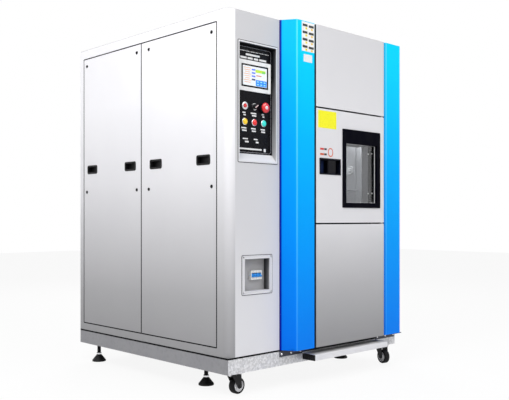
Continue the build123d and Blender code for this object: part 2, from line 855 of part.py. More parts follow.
with BuildPart() as pilot_lamps:
    for x in switch_x:
        rod((x, y_plate, lamp_z), Plane.XZ, lamp_flange, collar_height)
        rod((x, y_plate + barrel_length, lamp_z), Plane.XZ, barrel_radius, barrel_length)
        with BuildSketch(Plane.XZ.offset(-(y_plate - collar_height))) as lens:
            with Locations((x, lamp_z)):
                Circle(lens_radius)
        extrude(lens.sketch, amount=lens_height, taper=lens_slope)
save(pilot_lamps.part, "pilot_lamps")

# Breaker pocket, breaker and its tied toggles
y_pocket = y_face + pocket_depth
nose_centre = (mid(hole_x) + breaker_shift[0], mid(hole_z) + breaker_shift[1])
nose_x = grown((nose_centre[0], nose_centre[0]), breaker_width / 2)
nose_z = grown((nose_centre[1], nose_centre[1]), breaker_height / 2)
with BuildPart() as breaker_recess:
    front_block(pocket_x, pocket_z, (y_face - sheet, y_face), trim_radius)
    front_block(grown(hole_x, sheet), grown(hole_z, sheet), (y_face, y_pocket + sheet))
    front_block(hole_x, hole_z, (y_face - sheet, y_pocket), mode=Mode.SUBTRACT)
    front_block(nose_x, nose_z, (y_pocket, y_pocket + sheet), mode=Mode.SUBTRACT)
save(breaker_recess.part, "breaker_recess")

y_nose = y_pocket - breaker_proud
pivot_y = y_nose + toggle_radius + 1
slot_x = grown(nose_x, -slot_margin)
slot_z = grown((nose_centre[1], nose_centre[1]), slot_half)
breaker_back = y_pocket + sheet
with BuildPart() as circuit_breaker:
    front_block(nose_x, nose_z, (y_nose, breaker_back))
    front_block(nose_x, grown(nose_z, breaker_shoulder), (breaker_back, breaker_back + breaker_body))
    front_block(slot_x, slot_z, (y_nose, pivot_y + toggle_radius + 1), mode=Mode.SUBTRACT)
    rod((nose_x[0], pivot_y, mid(nose_z)), Plane.YZ, axle_small + running_clearance, breaker_width, Mode.SUBTRACT)
save(circuit_breaker.part, "circuit_breaker")

with BuildPart() as breaker_toggle:
    barrel_x = grown(slot_x, -body_clearance)
    rod((barrel_x[0], pivot_y, mid(nose_z)), Plane.YZ, toggle_radius, barrel_x[1] - barrel_x[0])
    rod((nose_x[0], pivot_y, mid(nose_z)), Plane.YZ, axle_small, breaker_width)
    pole = breaker_width / poles
    lean = Plane(
        origin=(mid(nose_x), pivot_y, mid(nose_z)),
        x_dir=(1, 0, 0),
        z_dir=(0, -cos(radians(toggle_rest)), -sin(radians(toggle_rest))),
    )
    with BuildSketch(lean) as tabs:
        with GridLocations(pole, 0, poles, 1):
            Rectangle(toggle_width, toggle_thickness)
    extrude(tabs.sketch, amount=toggle_reach)
    with BuildSketch(lean.offset(toggle_reach - tie_setback)) as tie_bar:
        Rectangle((poles - 1) * pole + toggle_width, tie_thickness)
    extrude(tie_bar.sketch, amount=tie_thickness)
save(breaker_toggle.part, "breaker_toggle")

# Door: a folded pan with window and handle cut-outs and pivot bosses near its right edge
window_x = (door_x[1] - window_right_margin - window_width, door_x[1] - window_right_margin)
window_z = (door_z[0] + window_bottom_margin, door_z[0] + window_bottom_margin + window_height)
glass_x = grown(window_x, -window_band)
glass_z = (window_z[0] + window_low_band, window_z[1] - window_top_band)
pane_x, pane_z = grown(glass_x, pane_thickness), grown(glass_z, pane_thickness)
tube_x, tube_z = grown(pane_x, sheet), grown(pane_z, sheet)
cup_x = (door_x[0] + handle_left_margin, door_x[0] + handle_left_margin + handle_width)
cup_z = (door_z[0] + handle_low_margin, door_z[0] + handle_low_margin + handle_height)
cup_body_x, cup_body_z = grown(cup_x, -handle_step), grown(cup_z, -handle_step)
with BuildPart() as door_shell:
    folded(
        [(door_x[0], door_back), (door_x[0], y_proud), (door_x[1], y_proud), (door_x[1], door_back)],
        edge_radius,
        door_z,
    )
    for low in (door_z[0], door_z[1] - boss_height):
        rod((hinge_x, hinge_y, low), Plane.XY, boss_radius, boss_height)
        block((hinge_x - boss_radius, hinge_x), (y_proud + sheet, hinge_y), (low, low + boss_height))
    for low in (door_z[0], door_z[1] - pin_length - sheet):
        rod((hinge_x, hinge_y, low), Plane.XY, pin_radius + running_clearance, pin_length + sheet, Mode.SUBTRACT)
    skin = (y_proud, y_proud + sheet)
    front_block(grown(window_x, -flange_lap), grown(window_z, -flange_lap), skin, mode=Mode.SUBTRACT)
    front_block(cup_body_x, cup_body_z, skin, mode=Mode.SUBTRACT)
save(door_shell.part, "door_shell")

plug_x, plug_z = grown(opening_x, -plug_clearance), grown(opening_z, -plug_clearance)
back_plate = 3
y_pane = y_proud - trim_proud + window_recess
frame_back = y_pane + pane_thickness + pane_ledge
plug_back = y_face + plug_depth
with BuildPart() as door_plug:
    inner_plate_x, inner_plate_z = grown(door_x, -sheet), grown(door_z, -sheet)
    front_block(inner_plate_x, inner_plate_z, (door_back - back_plate, door_back))
    with BuildSketch(Plane.XZ.offset(-door_back)) as plug_face:
        with Locations((mid(plug_x), mid(plug_z))):
            Rectangle(plug_x[1] - plug_x[0], plug_z[1] - plug_z[0])
    extrude(plug_face.sketch, amount=-(plug_back - door_back), taper=plug_taper)
    front_block(tube_x, tube_z, (frame_back, door_back))
    front_block(pane_x, pane_z, (frame_back, plug_back - plug_lip), mode=Mode.SUBTRACT)
    front_block(glass_x, glass_z, (plug_back - plug_lip, plug_back), mode=Mode.SUBTRACT)
save(door_plug.part, "door_plug")

with BuildPart() as window_frame:
    front_block(window_x, window_z, (y_proud - trim_proud, y_proud), trim_radius)
    front_block(grown(window_x, -flange_lap), grown(window_z, -flange_lap), (y_proud, frame_back))
    front_block(glass_x, glass_z, (y_proud - trim_proud, y_pane), mode=Mode.SUBTRACT)
    front_block(pane_x, pane_z, (y_pane, frame_back), mode=Mode.SUBTRACT)
save(window_frame.part, "window_frame")

with BuildPart() as window_panes:
    pane_size_x, pane_size_z = grown(pane_x, -fit_clearance), grown(pane_z, -fit_clearance)
    for front in (y_pane, plug_back - plug_lip - pane_thickness):
        front_block(pane_size_x, pane_size_z, (front, front + pane_thickness))
save(window_panes.part, "window_panes")

with BuildPart() as door_gasket:
    seal_x, seal_z = grown(opening_x, gasket_margin), grown(opening_z, gasket_margin)
    seal_y = (door_back, y_face - body_clearance)
    front_block(grown(seal_x, gasket_width), grown(seal_z, gasket_width), seal_y, gasket_radii[0])
    front_block(seal_x, seal_z, seal_y, gasket_radii[1], Mode.SUBTRACT)
save(door_gasket.part, "door_gasket")

# Hinge brackets: an arm in the seam above and below the door, each one carrying a pivot pin
with BuildPart() as hinge_brackets:
    arm_y = (hinge_y, y_face)
    for seam, toward in ((door_low_seam, 1), (door_high_seam, -1)):
        arm_z = (seam - bracket_plate / 2, seam + bracket_plate / 2)
        block((hinge_x - arm_half, hinge_x + arm_half), arm_y, arm_z)
        rod((hinge_x, hinge_y, arm_z[0]), Plane.XY, boss_radius - 1, bracket_plate)
        reach = seam_gap / 2 - bracket_plate / 2 + pin_length
        pin_low = arm_z[1] if toward > 0 else arm_z[0] - reach
        rod((hinge_x, hinge_y, pin_low), Plane.XY, pin_radius, reach)
save(hinge_brackets.part, "hinge_brackets")

# Handle: a recessed cup and a paddle that turns on two small pins
paddle_centre = mid(cup_x) + paddle_shift
paddle_x = (paddle_centre - paddle_width / 2, paddle_centre + paddle_width / 2)
paddle_z = grown(cup_body_z, -cup_shell - paddle_gap)
paddle_axis_x = paddle_x[0] + paddle_barrel
paddle_axis_y = y_proud + paddle_barrel + 1
with BuildPart() as handle_cup:
    front_block(cup_x, cup_z, (y_proud - sheet, y_proud), trim_radius)
    front_block(cup_body_x, cup_body_z, (y_proud, y_proud + handle_depth + cup_shell))
    cavity_x, cavity_z = grown(cup_body_x, -cup_shell), grown(cup_body_z, -cup_shell)
    front_block(cavity_x, cavity_z, (y_proud - sheet, y_proud + handle_depth), mode=Mode.SUBTRACT)
    rod((paddle_axis_x, paddle_axis_y, cup_body_z[0]), Plane.XY, paddle_pin + running_clearance,
        cup_body_z[1] - cup_body_z[0], Mode.SUBTRACT)
save(handle_cup.part, "handle_cup")

with BuildPart() as handle_lever:
    front_block((paddle_axis_x, paddle_x[1]), paddle_z, (y_proud + 1, y_proud + 1 + paddle_thickness))
    fillet(handle_lever.edges().filter_by(Axis.Z).group_by(Axis.X)[-1], radius=paddle_edge)
    rod((paddle_axis_x, paddle_axis_y, paddle_z[0]), Plane.XY, paddle_barrel, paddle_z[1] - paddle_z[0])
    rod((paddle_axis_x, paddle_axis_y, cup_body_z[0]), Plane.XY, paddle_pin, cup_body_z[1] - cup_body_z[0])
save(handle_lever.part, "handle_lever")

# Test zone liner with its damper ports
liner_back = from_front(test_depth)
port_x = (mid(opening_x) - port_width / 2, mid(opening_x) + port_width / 2)
port_y = (from_front(port_front), from_front(port_front + port_depth))
with BuildPart() as test_liner:
    front_block(liner_x, liner_z, (y_face, liner_back + sheet))
    front_block(grown(liner_x, flange_lap), grown(liner_z, flange_lap), (y_face + sheet, y_face + 2 * sheet))
    front_block(opening_x, opening_z, (y_face, liner_back), mode=Mode.SUBTRACT)
    block(port_x, port_y, liner_z, Mode.SUBTRACT)
save(test_liner.part, "test_liner")

# Rack rails on the liner's side walls, each with its pegs, and the wire shelf on the lower pegs
peg_levels = (opening_z[0] + peg_margin, opening_z[1] - peg_margin, shelf_height - peg_radius - shelf_rod)
with BuildPart() as rack_rails:
    for wall, inward in ((opening_x[0], 1), (opening_x[1], -1)):
        for depth in rack_depths:
            face = wall + inward * rack_thickness
            rack_x = (min(wall, face), max(wall, face))
            rack_y = (from_front(depth), from_front(depth + rack_width))
            block(rack_x, rack_y, grown(opening_z, -rack_margin))
            for z in peg_levels:
                nut((face, mid(rack_y), z), Plane.YZ, peg_radius, inward * peg_length)
save(rack_rails.part, "rack_rails")

with BuildPart() as sample_shelf:
    shelf_x = grown(opening_x, -rack_thickness - shelf_gap - shelf_rod)
    shelf_y = grown((from_front(rack_depths[0]), from_front(rack_depths[1] + rack_width)), shelf_overhang)
    for x in shelf_x:
        nut((x, shelf_y[0], shelf_height), Plane.ZX, shelf_rod, shelf_y[1] - shelf_y[0])
    for y in shelf_y:
        nut((shelf_x[0], y, shelf_height), Plane.YZ, shelf_rod, shelf_x[1] - shelf_x[0])
    for wire in range(shelf_wires):
        x = shelf_x[0] + (shelf_x[1] - shelf_x[0]) * (wire + 1) / (shelf_wires + 1)
        nut((x, shelf_y[0], shelf_height + shelf_wire), Plane.ZX, shelf_wire, shelf_y[1] - shelf_y[0])
save(sample_shelf.part, "sample_shelf")

# Insulated casing round the three zones, with the ports that the dampers close
casing_x = grown(liner_x, casing_wall)
cavity_x = grown(opening_x, -cavity_margin)
cavity_y = (from_front(cavity_front), from_front(test_depth + cavity_back_gap))
casing_y = (y_face + 2 * sheet, cavity_y[1] + casing_rear)
casing_z = (panel_z[0], panel_z[1] - casing_gap)
hot_z = (liner_z[1] + zone_wall, casing_z[1] - casing_wall)
cold_z = (casing_z[0] + casing_wall, liner_z[0] - zone_wall)
shaft_z = {"hot": hot_z[1] - fan_drop, "cold": cold_z[0] + fan_rise}
hinge_depth = port_y[1] + damper_overlap + damper_tail
damper_axis = {
    "hot": hot_z[0] + damper_seat + damper_thickness / 2,
    "cold": cold_z[1] - damper_seat - damper_thickness / 2,
}
lug_x = (port_x[0] - damper_overlap - lug_thickness - lug_gap, port_x[1] + damper_overlap + lug_gap)
with BuildPart() as zone_casing:
    block(casing_x, casing_y, casing_z)
    front_block(liner_x, liner_z, (casing_y[0], liner_back + sheet), mode=Mode.SUBTRACT)
    for zone_z in (hot_z, cold_z):
        block(cavity_x, cavity_y, zone_z, Mode.SUBTRACT)
    block(port_x, port_y, (cold_z[1], hot_z[0]), Mode.SUBTRACT)
    for zone in ("hot", "cold"):
        toward = 1 if zone == "hot" else -1
        root = hot_z[0] if zone == "hot" else cold_z[1]
        lug_z = (min(root, root + toward * lug_height), max(root, root + toward * lug_height))
        for x in lug_x:
            block((x, x + lug_thickness), grown((hinge_depth, hinge_depth), 2 * damper_shaft), lug_z)
        rod((lug_x[0], hinge_depth, damper_axis[zone]), Plane.YZ, damper_shaft + running_clearance,
            lug_x[1] - lug_x[0] + lug_thickness, Mode.SUBTRACT)
        rod((mid(cavity_x), cavity_y[1], shaft_z[zone]), Plane.ZX, shaft_radius + shaft_gap, casing_rear,
            Mode.SUBTRACT)
save(zone_casing.part, "zone_casing")

for zone in ("hot", "cold"):
    with BuildPart() as damper:
        flap_x = grown(port_x, damper_overlap)
        flap_y = (port_y[0] - damper_overlap, hinge_depth)
        axis_z = damper_axis[zone]
        block(flap_x, flap_y, (axis_z - damper_thickness / 2, axis_z + damper_thickness / 2))
        rod((lug_x[0], hinge_depth, axis_z), Plane.YZ, damper_shaft, lug_x[1] - lug_x[0] + lug_thickness)
    save(damper.part, f"{zone}_damper")

# Fans: backplate and slanted blades on a shaft that runs back into its motor
blade_radius = fan_radius * (blade_span[0] + blade_span[1]) / 2
blade_length = fan_radius * (blade_span[1] - blade_span[0])
fan_back = cavity_y[1] - fan_gap
shaft_end = casing_y[1] + shaft_reach
for zone in ("hot", "cold"):
    with BuildPart() as fan:
        rod((mid(cavity_x), fan_back, shaft_z[zone]), Plane.XZ, fan_radius, fan_disc)
        with BuildSketch(Plane.XZ.offset(fan_disc - fan_back)) as blades:
            with Locations((mid(cavity_x), shaft_z[zone])):
                with PolarLocations(blade_radius, blade_count):
                    Rectangle(blade_length, fan_disc, rotation=blade_turn)
        extrude(blades.sketch, amount=fan_width)
        rod((mid(cavity_x), shaft_end, shaft_z[zone]), Plane.XZ, shaft_radius, shaft_end - fan_back + fan_width / 2)
    save(fan.part, f"{zone}_fan")

with BuildPart() as fan_motors:
    for zone in ("hot", "cold"):
        rod((mid(cavity_x), casing_y[1], shaft_z[zone]), Plane.ZX, motor_radius, motor_length)
        flange_half = motor_radius + motor_flange
        flange_x = grown((mid(cavity_x), mid(cavity_x)), flange_half)
        flange_z = grown((shaft_z[zone], shaft_z[zone]), flange_half)
        front_block(flange_x, flange_z, (casing_y[1], casing_y[1] + motor_plate))
        rod((mid(cavity_x), casing_y[1], shaft_z[zone]), Plane.ZX, shaft_radius + running_clearance, motor_bore,
            Mode.SUBTRACT)
save(fan_motors.part, "fan_motors")

# Refrigeration unit on the deck: two compressors on a tray, and the condenser behind the louvres
tray_y = (casing_y[1] + tray_gap, y_back - condenser_depths[0] - tray_thickness)
tray_top = body_bottom + tray_thickness
with BuildPart() as refrigeration_unit:
    block((-tray_width / 2, tray_width / 2), tray_y, (body_bottom, tray_top))
    for x in (-compressor_pitch / 2, compressor_pitch / 2):
        rod((x, mid(tray_y), tray_top), Plane.XY, compressor_radius, compressor_height)
    chamfer(refrigeration_unit.faces().group_by(Axis.Z)[-1].edges(), length=compressor_slope)
    condenser_x = (-condenser_width / 2, condenser_width / 2)
    condenser_y = (y_back - condenser_depths[0], y_back - condenser_depths[1])
    condenser_z = (body_bottom, body_bottom + condenser_height)
    core_x, core_z = grown(condenser_x, -condenser_frame), grown(condenser_z, -condenser_frame)
    front_block(condenser_x, condenser_z, condenser_y)
    front_block(core_x, core_z, condenser_y, mode=Mode.SUBTRACT)
    for fin in range(condenser_fins):
        x = core_x[0] + (core_x[1] - core_x[0]) * (fin + 1) / (condenser_fins + 1)
        block(grown((x, x), fin_thickness / 2), grown(condenser_y, -condenser_frame), core_z)
save(refrigeration_unit.part, "refrigeration_unit")

# Service fittings at the rear: a cable gland with its bore, and a drain stub
fitting_start = y_back - fitting_root
fitting_length = fitting_root + rear_reach
with BuildPart() as service_fittings:
    rod((gland_x, fitting_start, fitting_z), Plane.ZX, gland_radius, fitting_length)
    nut((gland_x, y_back, fitting_z), Plane.ZX, gland_nut, gland_nut_height)
    rod((gland_x, fitting_start, fitting_z), Plane.ZX, gland_bore, fitting_length, Mode.SUBTRACT)
    rod((drain_x, fitting_start, fitting_z), Plane.ZX, stem_radius, fitting_length)
    rod((drain_x, y_back, fitting_z), Plane.ZX, drain_flange, drain_flange_height)
    rod((drain_x, fitting_start, fitting_z), Plane.ZX, drain_bore, fitting_length, Mode.SUBTRACT)
save(service_fittings.part, "service_fittings")

# Casters: fixed plates with kingpins in front, rigid forks at the rear
axle_z = wheel_lift + wheel_radius
crown_bottom = axle_z + wheel_radius + crown_gap
crown_top = crown_bottom + crown_thickness
leg_offset = wheel_width / 2 + leg_gap
caster_turns = {"front_left": 0, "front_right": -105}
rear_turn = 90


def caster_leg(local, offset_across, trail):
    """One cheek of a fork: the hull of a crown edge and the boss round the axle."""
    upright = Plane(origin=local.origin + local.y_dir * offset_across, x_dir=local.x_dir, z_dir=-local.y_dir)
    with BuildSketch(upright) as cheek:
        with Locations((trail, axle_z)):
            Circle(leg_boss)
        with Locations((trail / 2, crown_bottom - 1)):
            Rectangle(crown_length, 2)
        make_hull()
    extrude(cheek.sketch, amount=leg_thickness)


def axle(local, trail):
    reach = leg_offset + leg_thickness + axle_proud
    start = local.origin + local.x_dir * trail - local.y_dir * reach
    rod(start + Vector(0, 0, axle_z), Plane(origin=(0, 0, 0), x_dir=local.x_dir, z_dir=local.y_dir),
        axle_radius, 2 * reach)


def fork(local, trail, crown_z):
    """Crown, two cheeks and the axle, in the plane that the caster points along."""
    with BuildSketch(local.offset(crown_z[0])) as crown:
        with Locations((trail / 2, 0)):
            Rectangle(crown_length, 2 * (leg_offset + leg_thickness))
    extrude(crown.sketch, amount=crown_z[1] - crown_z[0])
    caster_leg(local, leg_offset + leg_thickness, trail)
    caster_leg(local, -leg_offset, trail)
    axle(local, trail)


def wheel(local, trail):
    """A wheel with bevelled tread and a raised hub, bored for its axle."""
    hub = local.origin + local.x_dir * trail + Vector(0, 0, axle_z)
    half, bore = wheel_width / 2, axle_radius + running_clearance
    with BuildPart() as tyre:
        with BuildSketch(Plane(origin=hub, x_dir=local.y_dir, z_dir=local.x_dir)) as section:
            with BuildLine():
                Polyline(
                    (-half - hub_proud, bore), (half + hub_proud, bore), (half + hub_proud, hub_radius),
                    (half, wheel_radius - tread_edge), (half - tread_edge, wheel_radius),
                    (tread_edge - half, wheel_radius), (-half, wheel_radius - tread_edge),
                    (-half - hub_proud, hub_radius), (-half - hub_proud, bore),
                )
            make_face()
        revolve(section.sketch, axis=Axis(hub, local.y_dir))
    return tyre.part


def caster_plane(point, angle):
    return Plane(origin=(point[0], point[1], 0), x_dir=(cos(radians(angle)), sin(radians(angle)), 0), z_dir=(0, 0, 1))


rear_planes = [caster_plane(point, rear_turn) for point in caster_points[2:]]
washer_z = crown_bottom - body_clearance - kingpin_head
front_planes = {name: caster_plane(point, caster_turns[name]) for name, point in zip(caster_turns, caster_points)}
with BuildPart() as caster_mounts:
    mount_z = (base_bottom - caster_plate, base_bottom)
    for x, y in caster_points:
        block(grown((x, x), plate_length / 2), grown((y, y), plate_width / 2), mount_z)
    for x, y in caster_points[:2]:
        rod((x, y, washer_z), Plane.XY, kingpin_radius, mount_z[0] - washer_z)
        rod((x, y, washer_z), Plane.XY, kingpin_washer, kingpin_head)
    for local in rear_planes:
        fork(local, 0, (crown_bottom, mount_z[0]))
save(caster_mounts.part, "caster_mounts")

for name, local in front_planes.items():
    with BuildPart() as swivel_fork:
        fork(local, wheel_trail, (crown_bottom, crown_top))
        race_top = base_bottom - caster_plate - body_clearance
        rod(local.origin + Vector(0, 0, crown_top), Plane.XY, race_radius, race_top - crown_top)
        rod(local.origin + Vector(0, 0, crown_bottom), Plane.XY, kingpin_radius + running_clearance,
            base_bottom - crown_bottom, Mode.SUBTRACT)
    save(swivel_fork.part, f"{name}_fork")
    save(wheel(local, wheel_trail), f"{name}_wheel")
for name, local in zip(("rear_left", "rear_right"), rear_planes):
    save(wheel(local, 0), f"{name}_wheel")

# Levelling feet: a cone pad, a stem through the base and a lock nut under it
foot_top = base_bottom + pad_thickness + foot_reserve
nuts = (foot_nut, (base_bottom - lock_nut_drop[0], base_bottom - lock_nut_drop[1]))
for name, (x, y) in zip(("front_left", "front_right", "rear_left", "rear_right"), foot_points):
    with BuildPart() as foot:
        with BuildSketch(Plane(origin=(x, y, 0), x_dir=(1, 0, 0), z_dir=(0, -1, 0))) as foot_section:
            with BuildLine():
                Polyline(
                    (0, 0), (foot_radius, 0), (foot_radius, foot_rim), (foot_neck, foot_cone),
                    (foot_stem, foot_cone), (foot_stem, foot_top), (0, foot_top), (0, 0),
                )
            make_face()
        revolve(foot_section.sketch, axis=Axis((x, y, 0), (0, 0, 1)))
        for low, high in nuts:
            nut((x, y, low), Plane.XY, nut_across, high - low)
    save(foot.part, f"{name}_foot")
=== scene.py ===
import json
import math
import bmesh
import bpy
import numpy as np
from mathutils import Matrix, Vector


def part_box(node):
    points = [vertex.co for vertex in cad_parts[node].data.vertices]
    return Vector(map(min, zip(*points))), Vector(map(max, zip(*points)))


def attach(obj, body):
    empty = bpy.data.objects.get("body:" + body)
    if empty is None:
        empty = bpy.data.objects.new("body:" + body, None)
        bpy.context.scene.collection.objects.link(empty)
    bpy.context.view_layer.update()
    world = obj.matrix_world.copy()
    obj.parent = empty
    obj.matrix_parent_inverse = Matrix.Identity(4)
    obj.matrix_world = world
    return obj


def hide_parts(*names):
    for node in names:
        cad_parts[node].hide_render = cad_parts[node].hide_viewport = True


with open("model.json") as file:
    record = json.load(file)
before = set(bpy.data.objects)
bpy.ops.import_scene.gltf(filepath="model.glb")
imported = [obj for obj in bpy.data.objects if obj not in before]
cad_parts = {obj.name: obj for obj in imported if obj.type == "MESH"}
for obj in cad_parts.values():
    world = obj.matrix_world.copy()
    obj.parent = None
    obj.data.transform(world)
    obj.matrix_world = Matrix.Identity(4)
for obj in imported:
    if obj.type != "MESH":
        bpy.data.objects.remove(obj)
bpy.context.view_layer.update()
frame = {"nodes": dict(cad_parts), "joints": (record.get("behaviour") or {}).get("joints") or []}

# Studio. The chamber stands on a pale seamless floor under three large soft lamps,
# seen from its front left corner at breast height. The lens is level and shifted
# upwards a little, so that the upright edges stay parallel.
bpy.context.scene.view_settings.view_transform = "Standard"
base_low, base_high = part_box("base_frame")
lens = bpy.data.cameras.new("Camera")
lens.lens = 52.76
lens.sensor_width = 36.0
lens.shift_y = 0.0348
lens.clip_end = 60
camera = bpy.data.objects.new("Camera", lens)
camera.location = (base_low.x - 2.3342, base_low.y - 2.6300, 0.8556)
camera.rotation_euler = (math.radians(90), 0, math.radians(-43.615))
bpy.context.scene.collection.objects.link(camera)
bpy.context.scene.camera = camera


def soft_lamp(name, place, aim, size, power):
    """A rectangular area lamp whose face looks from its place at a point on the object."""
    lamp = bpy.data.lights.new(name, "AREA")
    lamp.shape = "RECTANGLE"
    lamp.size, lamp.size_y = size
    lamp.energy = power
    stand = bpy.data.objects.new(name, lamp)
    stand.location = place
    stand.rotation_euler = (Vector(aim) - Vector(place)).to_track_quat("-Z", "Y").to_euler()
    bpy.context.scene.collection.objects.link(stand)


soft_lamp("lamp_over_left", (-3.4, -1.6, 4.2), (-0.5, -0.2, 1.3), (2.6, 2.6), 165)
soft_lamp("lamp_over_front", (0.8, -4.2, 3.9), (0.2, -0.7, 1.2), (3.2, 2.0), 95)
soft_lamp("lamp_rear", (2.6, 3.6, 3.4), (0.2, 0.4, 1.0), (2.4, 2.4), 80)

sky = bpy.data.worlds.new("studio")
bpy.context.scene.world = sky
sky.use_nodes = True
air = sky.node_tree
air.nodes.clear()
seen, either, through, level, glow, sky_out = (
    air.nodes.new(f"ShaderNode{kind}")
    for kind in ("LightPath", "Math", "Math", "MapRange", "Background", "OutputWorld"))
either.operation = through.operation = "MAXIMUM"
level.inputs["To Min"].default_value = 0.36
level.inputs["To Max"].default_value = 1.0
glow.inputs["Color"].default_value = (1, 1, 1, 1)
for output, socket in ((seen.outputs["Is Camera Ray"], either.inputs[0]),
                       (seen.outputs["Is Glossy Ray"], either.inputs[1]),
                       (either.outputs[0], through.inputs[0]),
                       (seen.outputs["Is Transmission Ray"], through.inputs[1]),
                       (through.outputs[0], level.inputs["Value"]),
                       (level.outputs[0], glow.inputs["Strength"]),
                       (glow.outputs[0], sky_out.inputs["Surface"])):
    air.links.new(output, socket)


class Finish:
    """A procedural finish: its node tree, its shader, and patterns that read Object coordinates."""

    def __init__(self, name, colour, roughness, metallic=0.0, **sockets):
        self.material = bpy.data.materials.new(name)
        self.material.use_nodes = True
        self.tree = self.material.node_tree
        self.shader = self.tree.nodes["Principled BSDF"]
        self.set(Base_Color=(*colour, 1), Roughness=roughness, Metallic=metallic, **sockets)
        self.place = self.node("ShaderNodeTexCoord").outputs["Object"]

    def set(self, **values):
        for key, value in values.items():
            self.shader.inputs[key.replace("_", " ")].default_value = value

    def node(self, kind, inputs=(), **settings):
        made = self.tree.nodes.new(kind)
        for key, value in settings.items():
            setattr(made, key, value)
        for key, value in dict(inputs).items():
            if isinstance(value, bpy.types.NodeSocket):
                self.tree.links.new(value, made.inputs[key])
            else:
                made.inputs[key].default_value = value
        return made

    def link(self, value, socket):
        self.tree.links.new(value, self.shader.inputs[socket])

    def along(self, axis):
        """The Object coordinate along one axis."""
        return self.node("ShaderNodeSeparateXYZ", {0: self.place}).outputs["XYZ"[axis]]

    def stretched(self, scale):
        """Object coordinates times a scale per axis, so that a pattern runs along the smallest one."""
        return self.node("ShaderNodeMapping", {"Vector": self.place, "Scale": scale}).outputs[0]

    def cloud(self, scale, detail=3.0, where=None):
        """Smooth random values between 0 and 1, about one blob per 1/scale metres."""
        return self.node("ShaderNodeTexNoise", {"Vector": where or self.place, "Scale": scale,
                                                "Detail": detail}).outputs["Fac"]

    def facing(self, axis, sign, start=0.3, stop=0.8):
        """How far the surface faces along one of the object's axes, from 0 to 1."""
        normal = self.node("ShaderNodeTexCoord").outputs["Normal"]
        part = self.node("ShaderNodeSeparateXYZ", {0: normal}).outputs["XYZ"[axis]]
        return self.spread(part, 0, 1, sign * start, sign * stop)

    def reckon(self, operation, one, other):
        """Two values multiplied, or the larger of them."""
        return self.node("ShaderNodeMath", {0: one, 1: other}, operation=operation).outputs[0]

    def spread(self, value, low, high, start=0.0, stop=1.0):
        """A value from start..stop is carried over to low..high."""
        return self.node("ShaderNodeMapRange", {"Value": value, "From Min": start, "From Max": stop,
                                                "To Min": low, "To Max": high}).outputs[0]

    def tones(self, factor, *stops):
        """A colour ramp: (position, colour) pairs."""
        ramp = self.node("ShaderNodeValToRGB", {"Fac": factor})
        elements = ramp.color_ramp.elements
        while len(elements) < len(stops):
            elements.new(0.5)
        for element, (position, colour) in zip(elements, stops):
            element.position = position
            element.color = (*colour, 1)
        return ramp.outputs["Color"]

    def joined(self, one, other, how="MULTIPLY", amount=1.0):
        """Two colours multiplied or mixed."""
        made = self.tree.nodes.new("ShaderNodeMix")
        made.data_type = "RGBA"
        made.blend_type = how
        for socket, value in ((0, amount), (6, one), (7, other)):
            if isinstance(value, bpy.types.NodeSocket):
                self.tree.links.new(value, made.inputs[socket])
            else:
                made.inputs[socket].default_value = value
        return made.outputs[2]

    def relief(self, height, strength, distance):
        """The height pattern raises the surface by up to a distance in metres."""
        bump = self.node("ShaderNodeBump", {"Height": height, "Strength": strength, "Distance": distance})
        self.link(bump.outputs["Normal"], "Normal")


def dress(material, *names):
    """Gives a CAD node's material slots the finish."""
    for name in names:
        mesh = frame["nodes"][name].data
        mesh.materials.clear()
        mesh.materials.append(material)


def new_piece(name, mesh, material):
    mesh.materials.append(material)
    piece = bpy.data.objects.new(name, mesh)
    bpy.context.scene.collection.objects.link(piece)
    return piece


floor_finish = Finish("studio_floor", (0.86, 0.86, 0.86), 0.65)
look = floor_finish.node("ShaderNodeLightPath")
share = floor_finish.node("ShaderNodeMath", {0: look.outputs["Is Camera Ray"],
                                             1: look.outputs["Is Glossy Ray"]}, operation="MAXIMUM")
faded = floor_finish.node("ShaderNodeMath", {0: share.outputs[0], 1: 0.90}, operation="MULTIPLY")
white = floor_finish.node("ShaderNodeEmission", {"Color": (1, 1, 1, 1), "Strength": 1.0})
floor_mix = floor_finish.node("ShaderNodeMixShader", {0: faded.outputs[0], 1: floor_finish.shader.outputs[0],
                                                      2: white.outputs[0]})
floor_finish.tree.links.new(floor_mix.outputs[0],
                            floor_finish.tree.nodes["Material Output"].inputs["Surface"])
floor_reach = 14.0
floor_mesh = bpy.data.meshes.new("floor")
floor_mesh.from_pydata([(-floor_reach, -floor_reach, 0), (floor_reach, -floor_reach, 0),
                        (floor_reach, floor_reach, 0), (-floor_reach, floor_reach, 0)], [], [(0, 1, 2, 3)])
new_piece("floor", floor_mesh, floor_finish.material)


# Base frame. A welded channel frame with a deck sheet, painted grey over zinc plate, its front
# face flecked and paler, partly a paler paint and partly painted light from the lamps in front,
# with cross members and pads for the casters and feet. A black rubber strip seals the joint
# under the cabinet, and its lip laps over the base's edge.
def plated_paint(name, tone, front_tone, spangle_scale=42):
    """Thin paint over zinc plate: cells of spangle show through it. The front face is flecked and paler,
    partly a paler paint and partly painted light where the lamps fall on it.
    """
    plate = Finish(name, tone, 0.42, 0.25)
    cells = plate.node("ShaderNodeTexVoronoi", {"Vector": plate.place,
                                                "Scale": spangle_scale}).outputs["Distance"]
    spangle = plate.tones(cells, (0.0, tuple(c * 0.92 for c in tone)), (0.55, tuple(c * 1.06 for c in tone)))
    flecks = plate.tones(plate.cloud(105, 3), (0.38, tuple(c * 0.86 for c in front_tone)),
                         (0.66, (0.80, 0.80, 0.82)))
    # Painted light: faces that look forward take the paler, flecked front tone.
    painted = plate.joined(spangle, flecks, "MIX", plate.facing(1, -1))
    rubbed = plate.tones(plate.cloud(9, 5), (0.35, (0.93, 0.93, 0.94)), (0.6, (1, 1, 1)))
    plate.link(plate.joined(painted, rubbed), "Base Color")
    plate.link(plate.spread(cells, 0.34, 0.52), "Roughness")
    plate.relief(plate.cloud(300, 2), 0.12, 0.0004)
    return plate.material


dress(plated_paint("base_paint", (0.26, 0.26, 0.275), (0.64, 0.64, 0.66)), "base_frame")


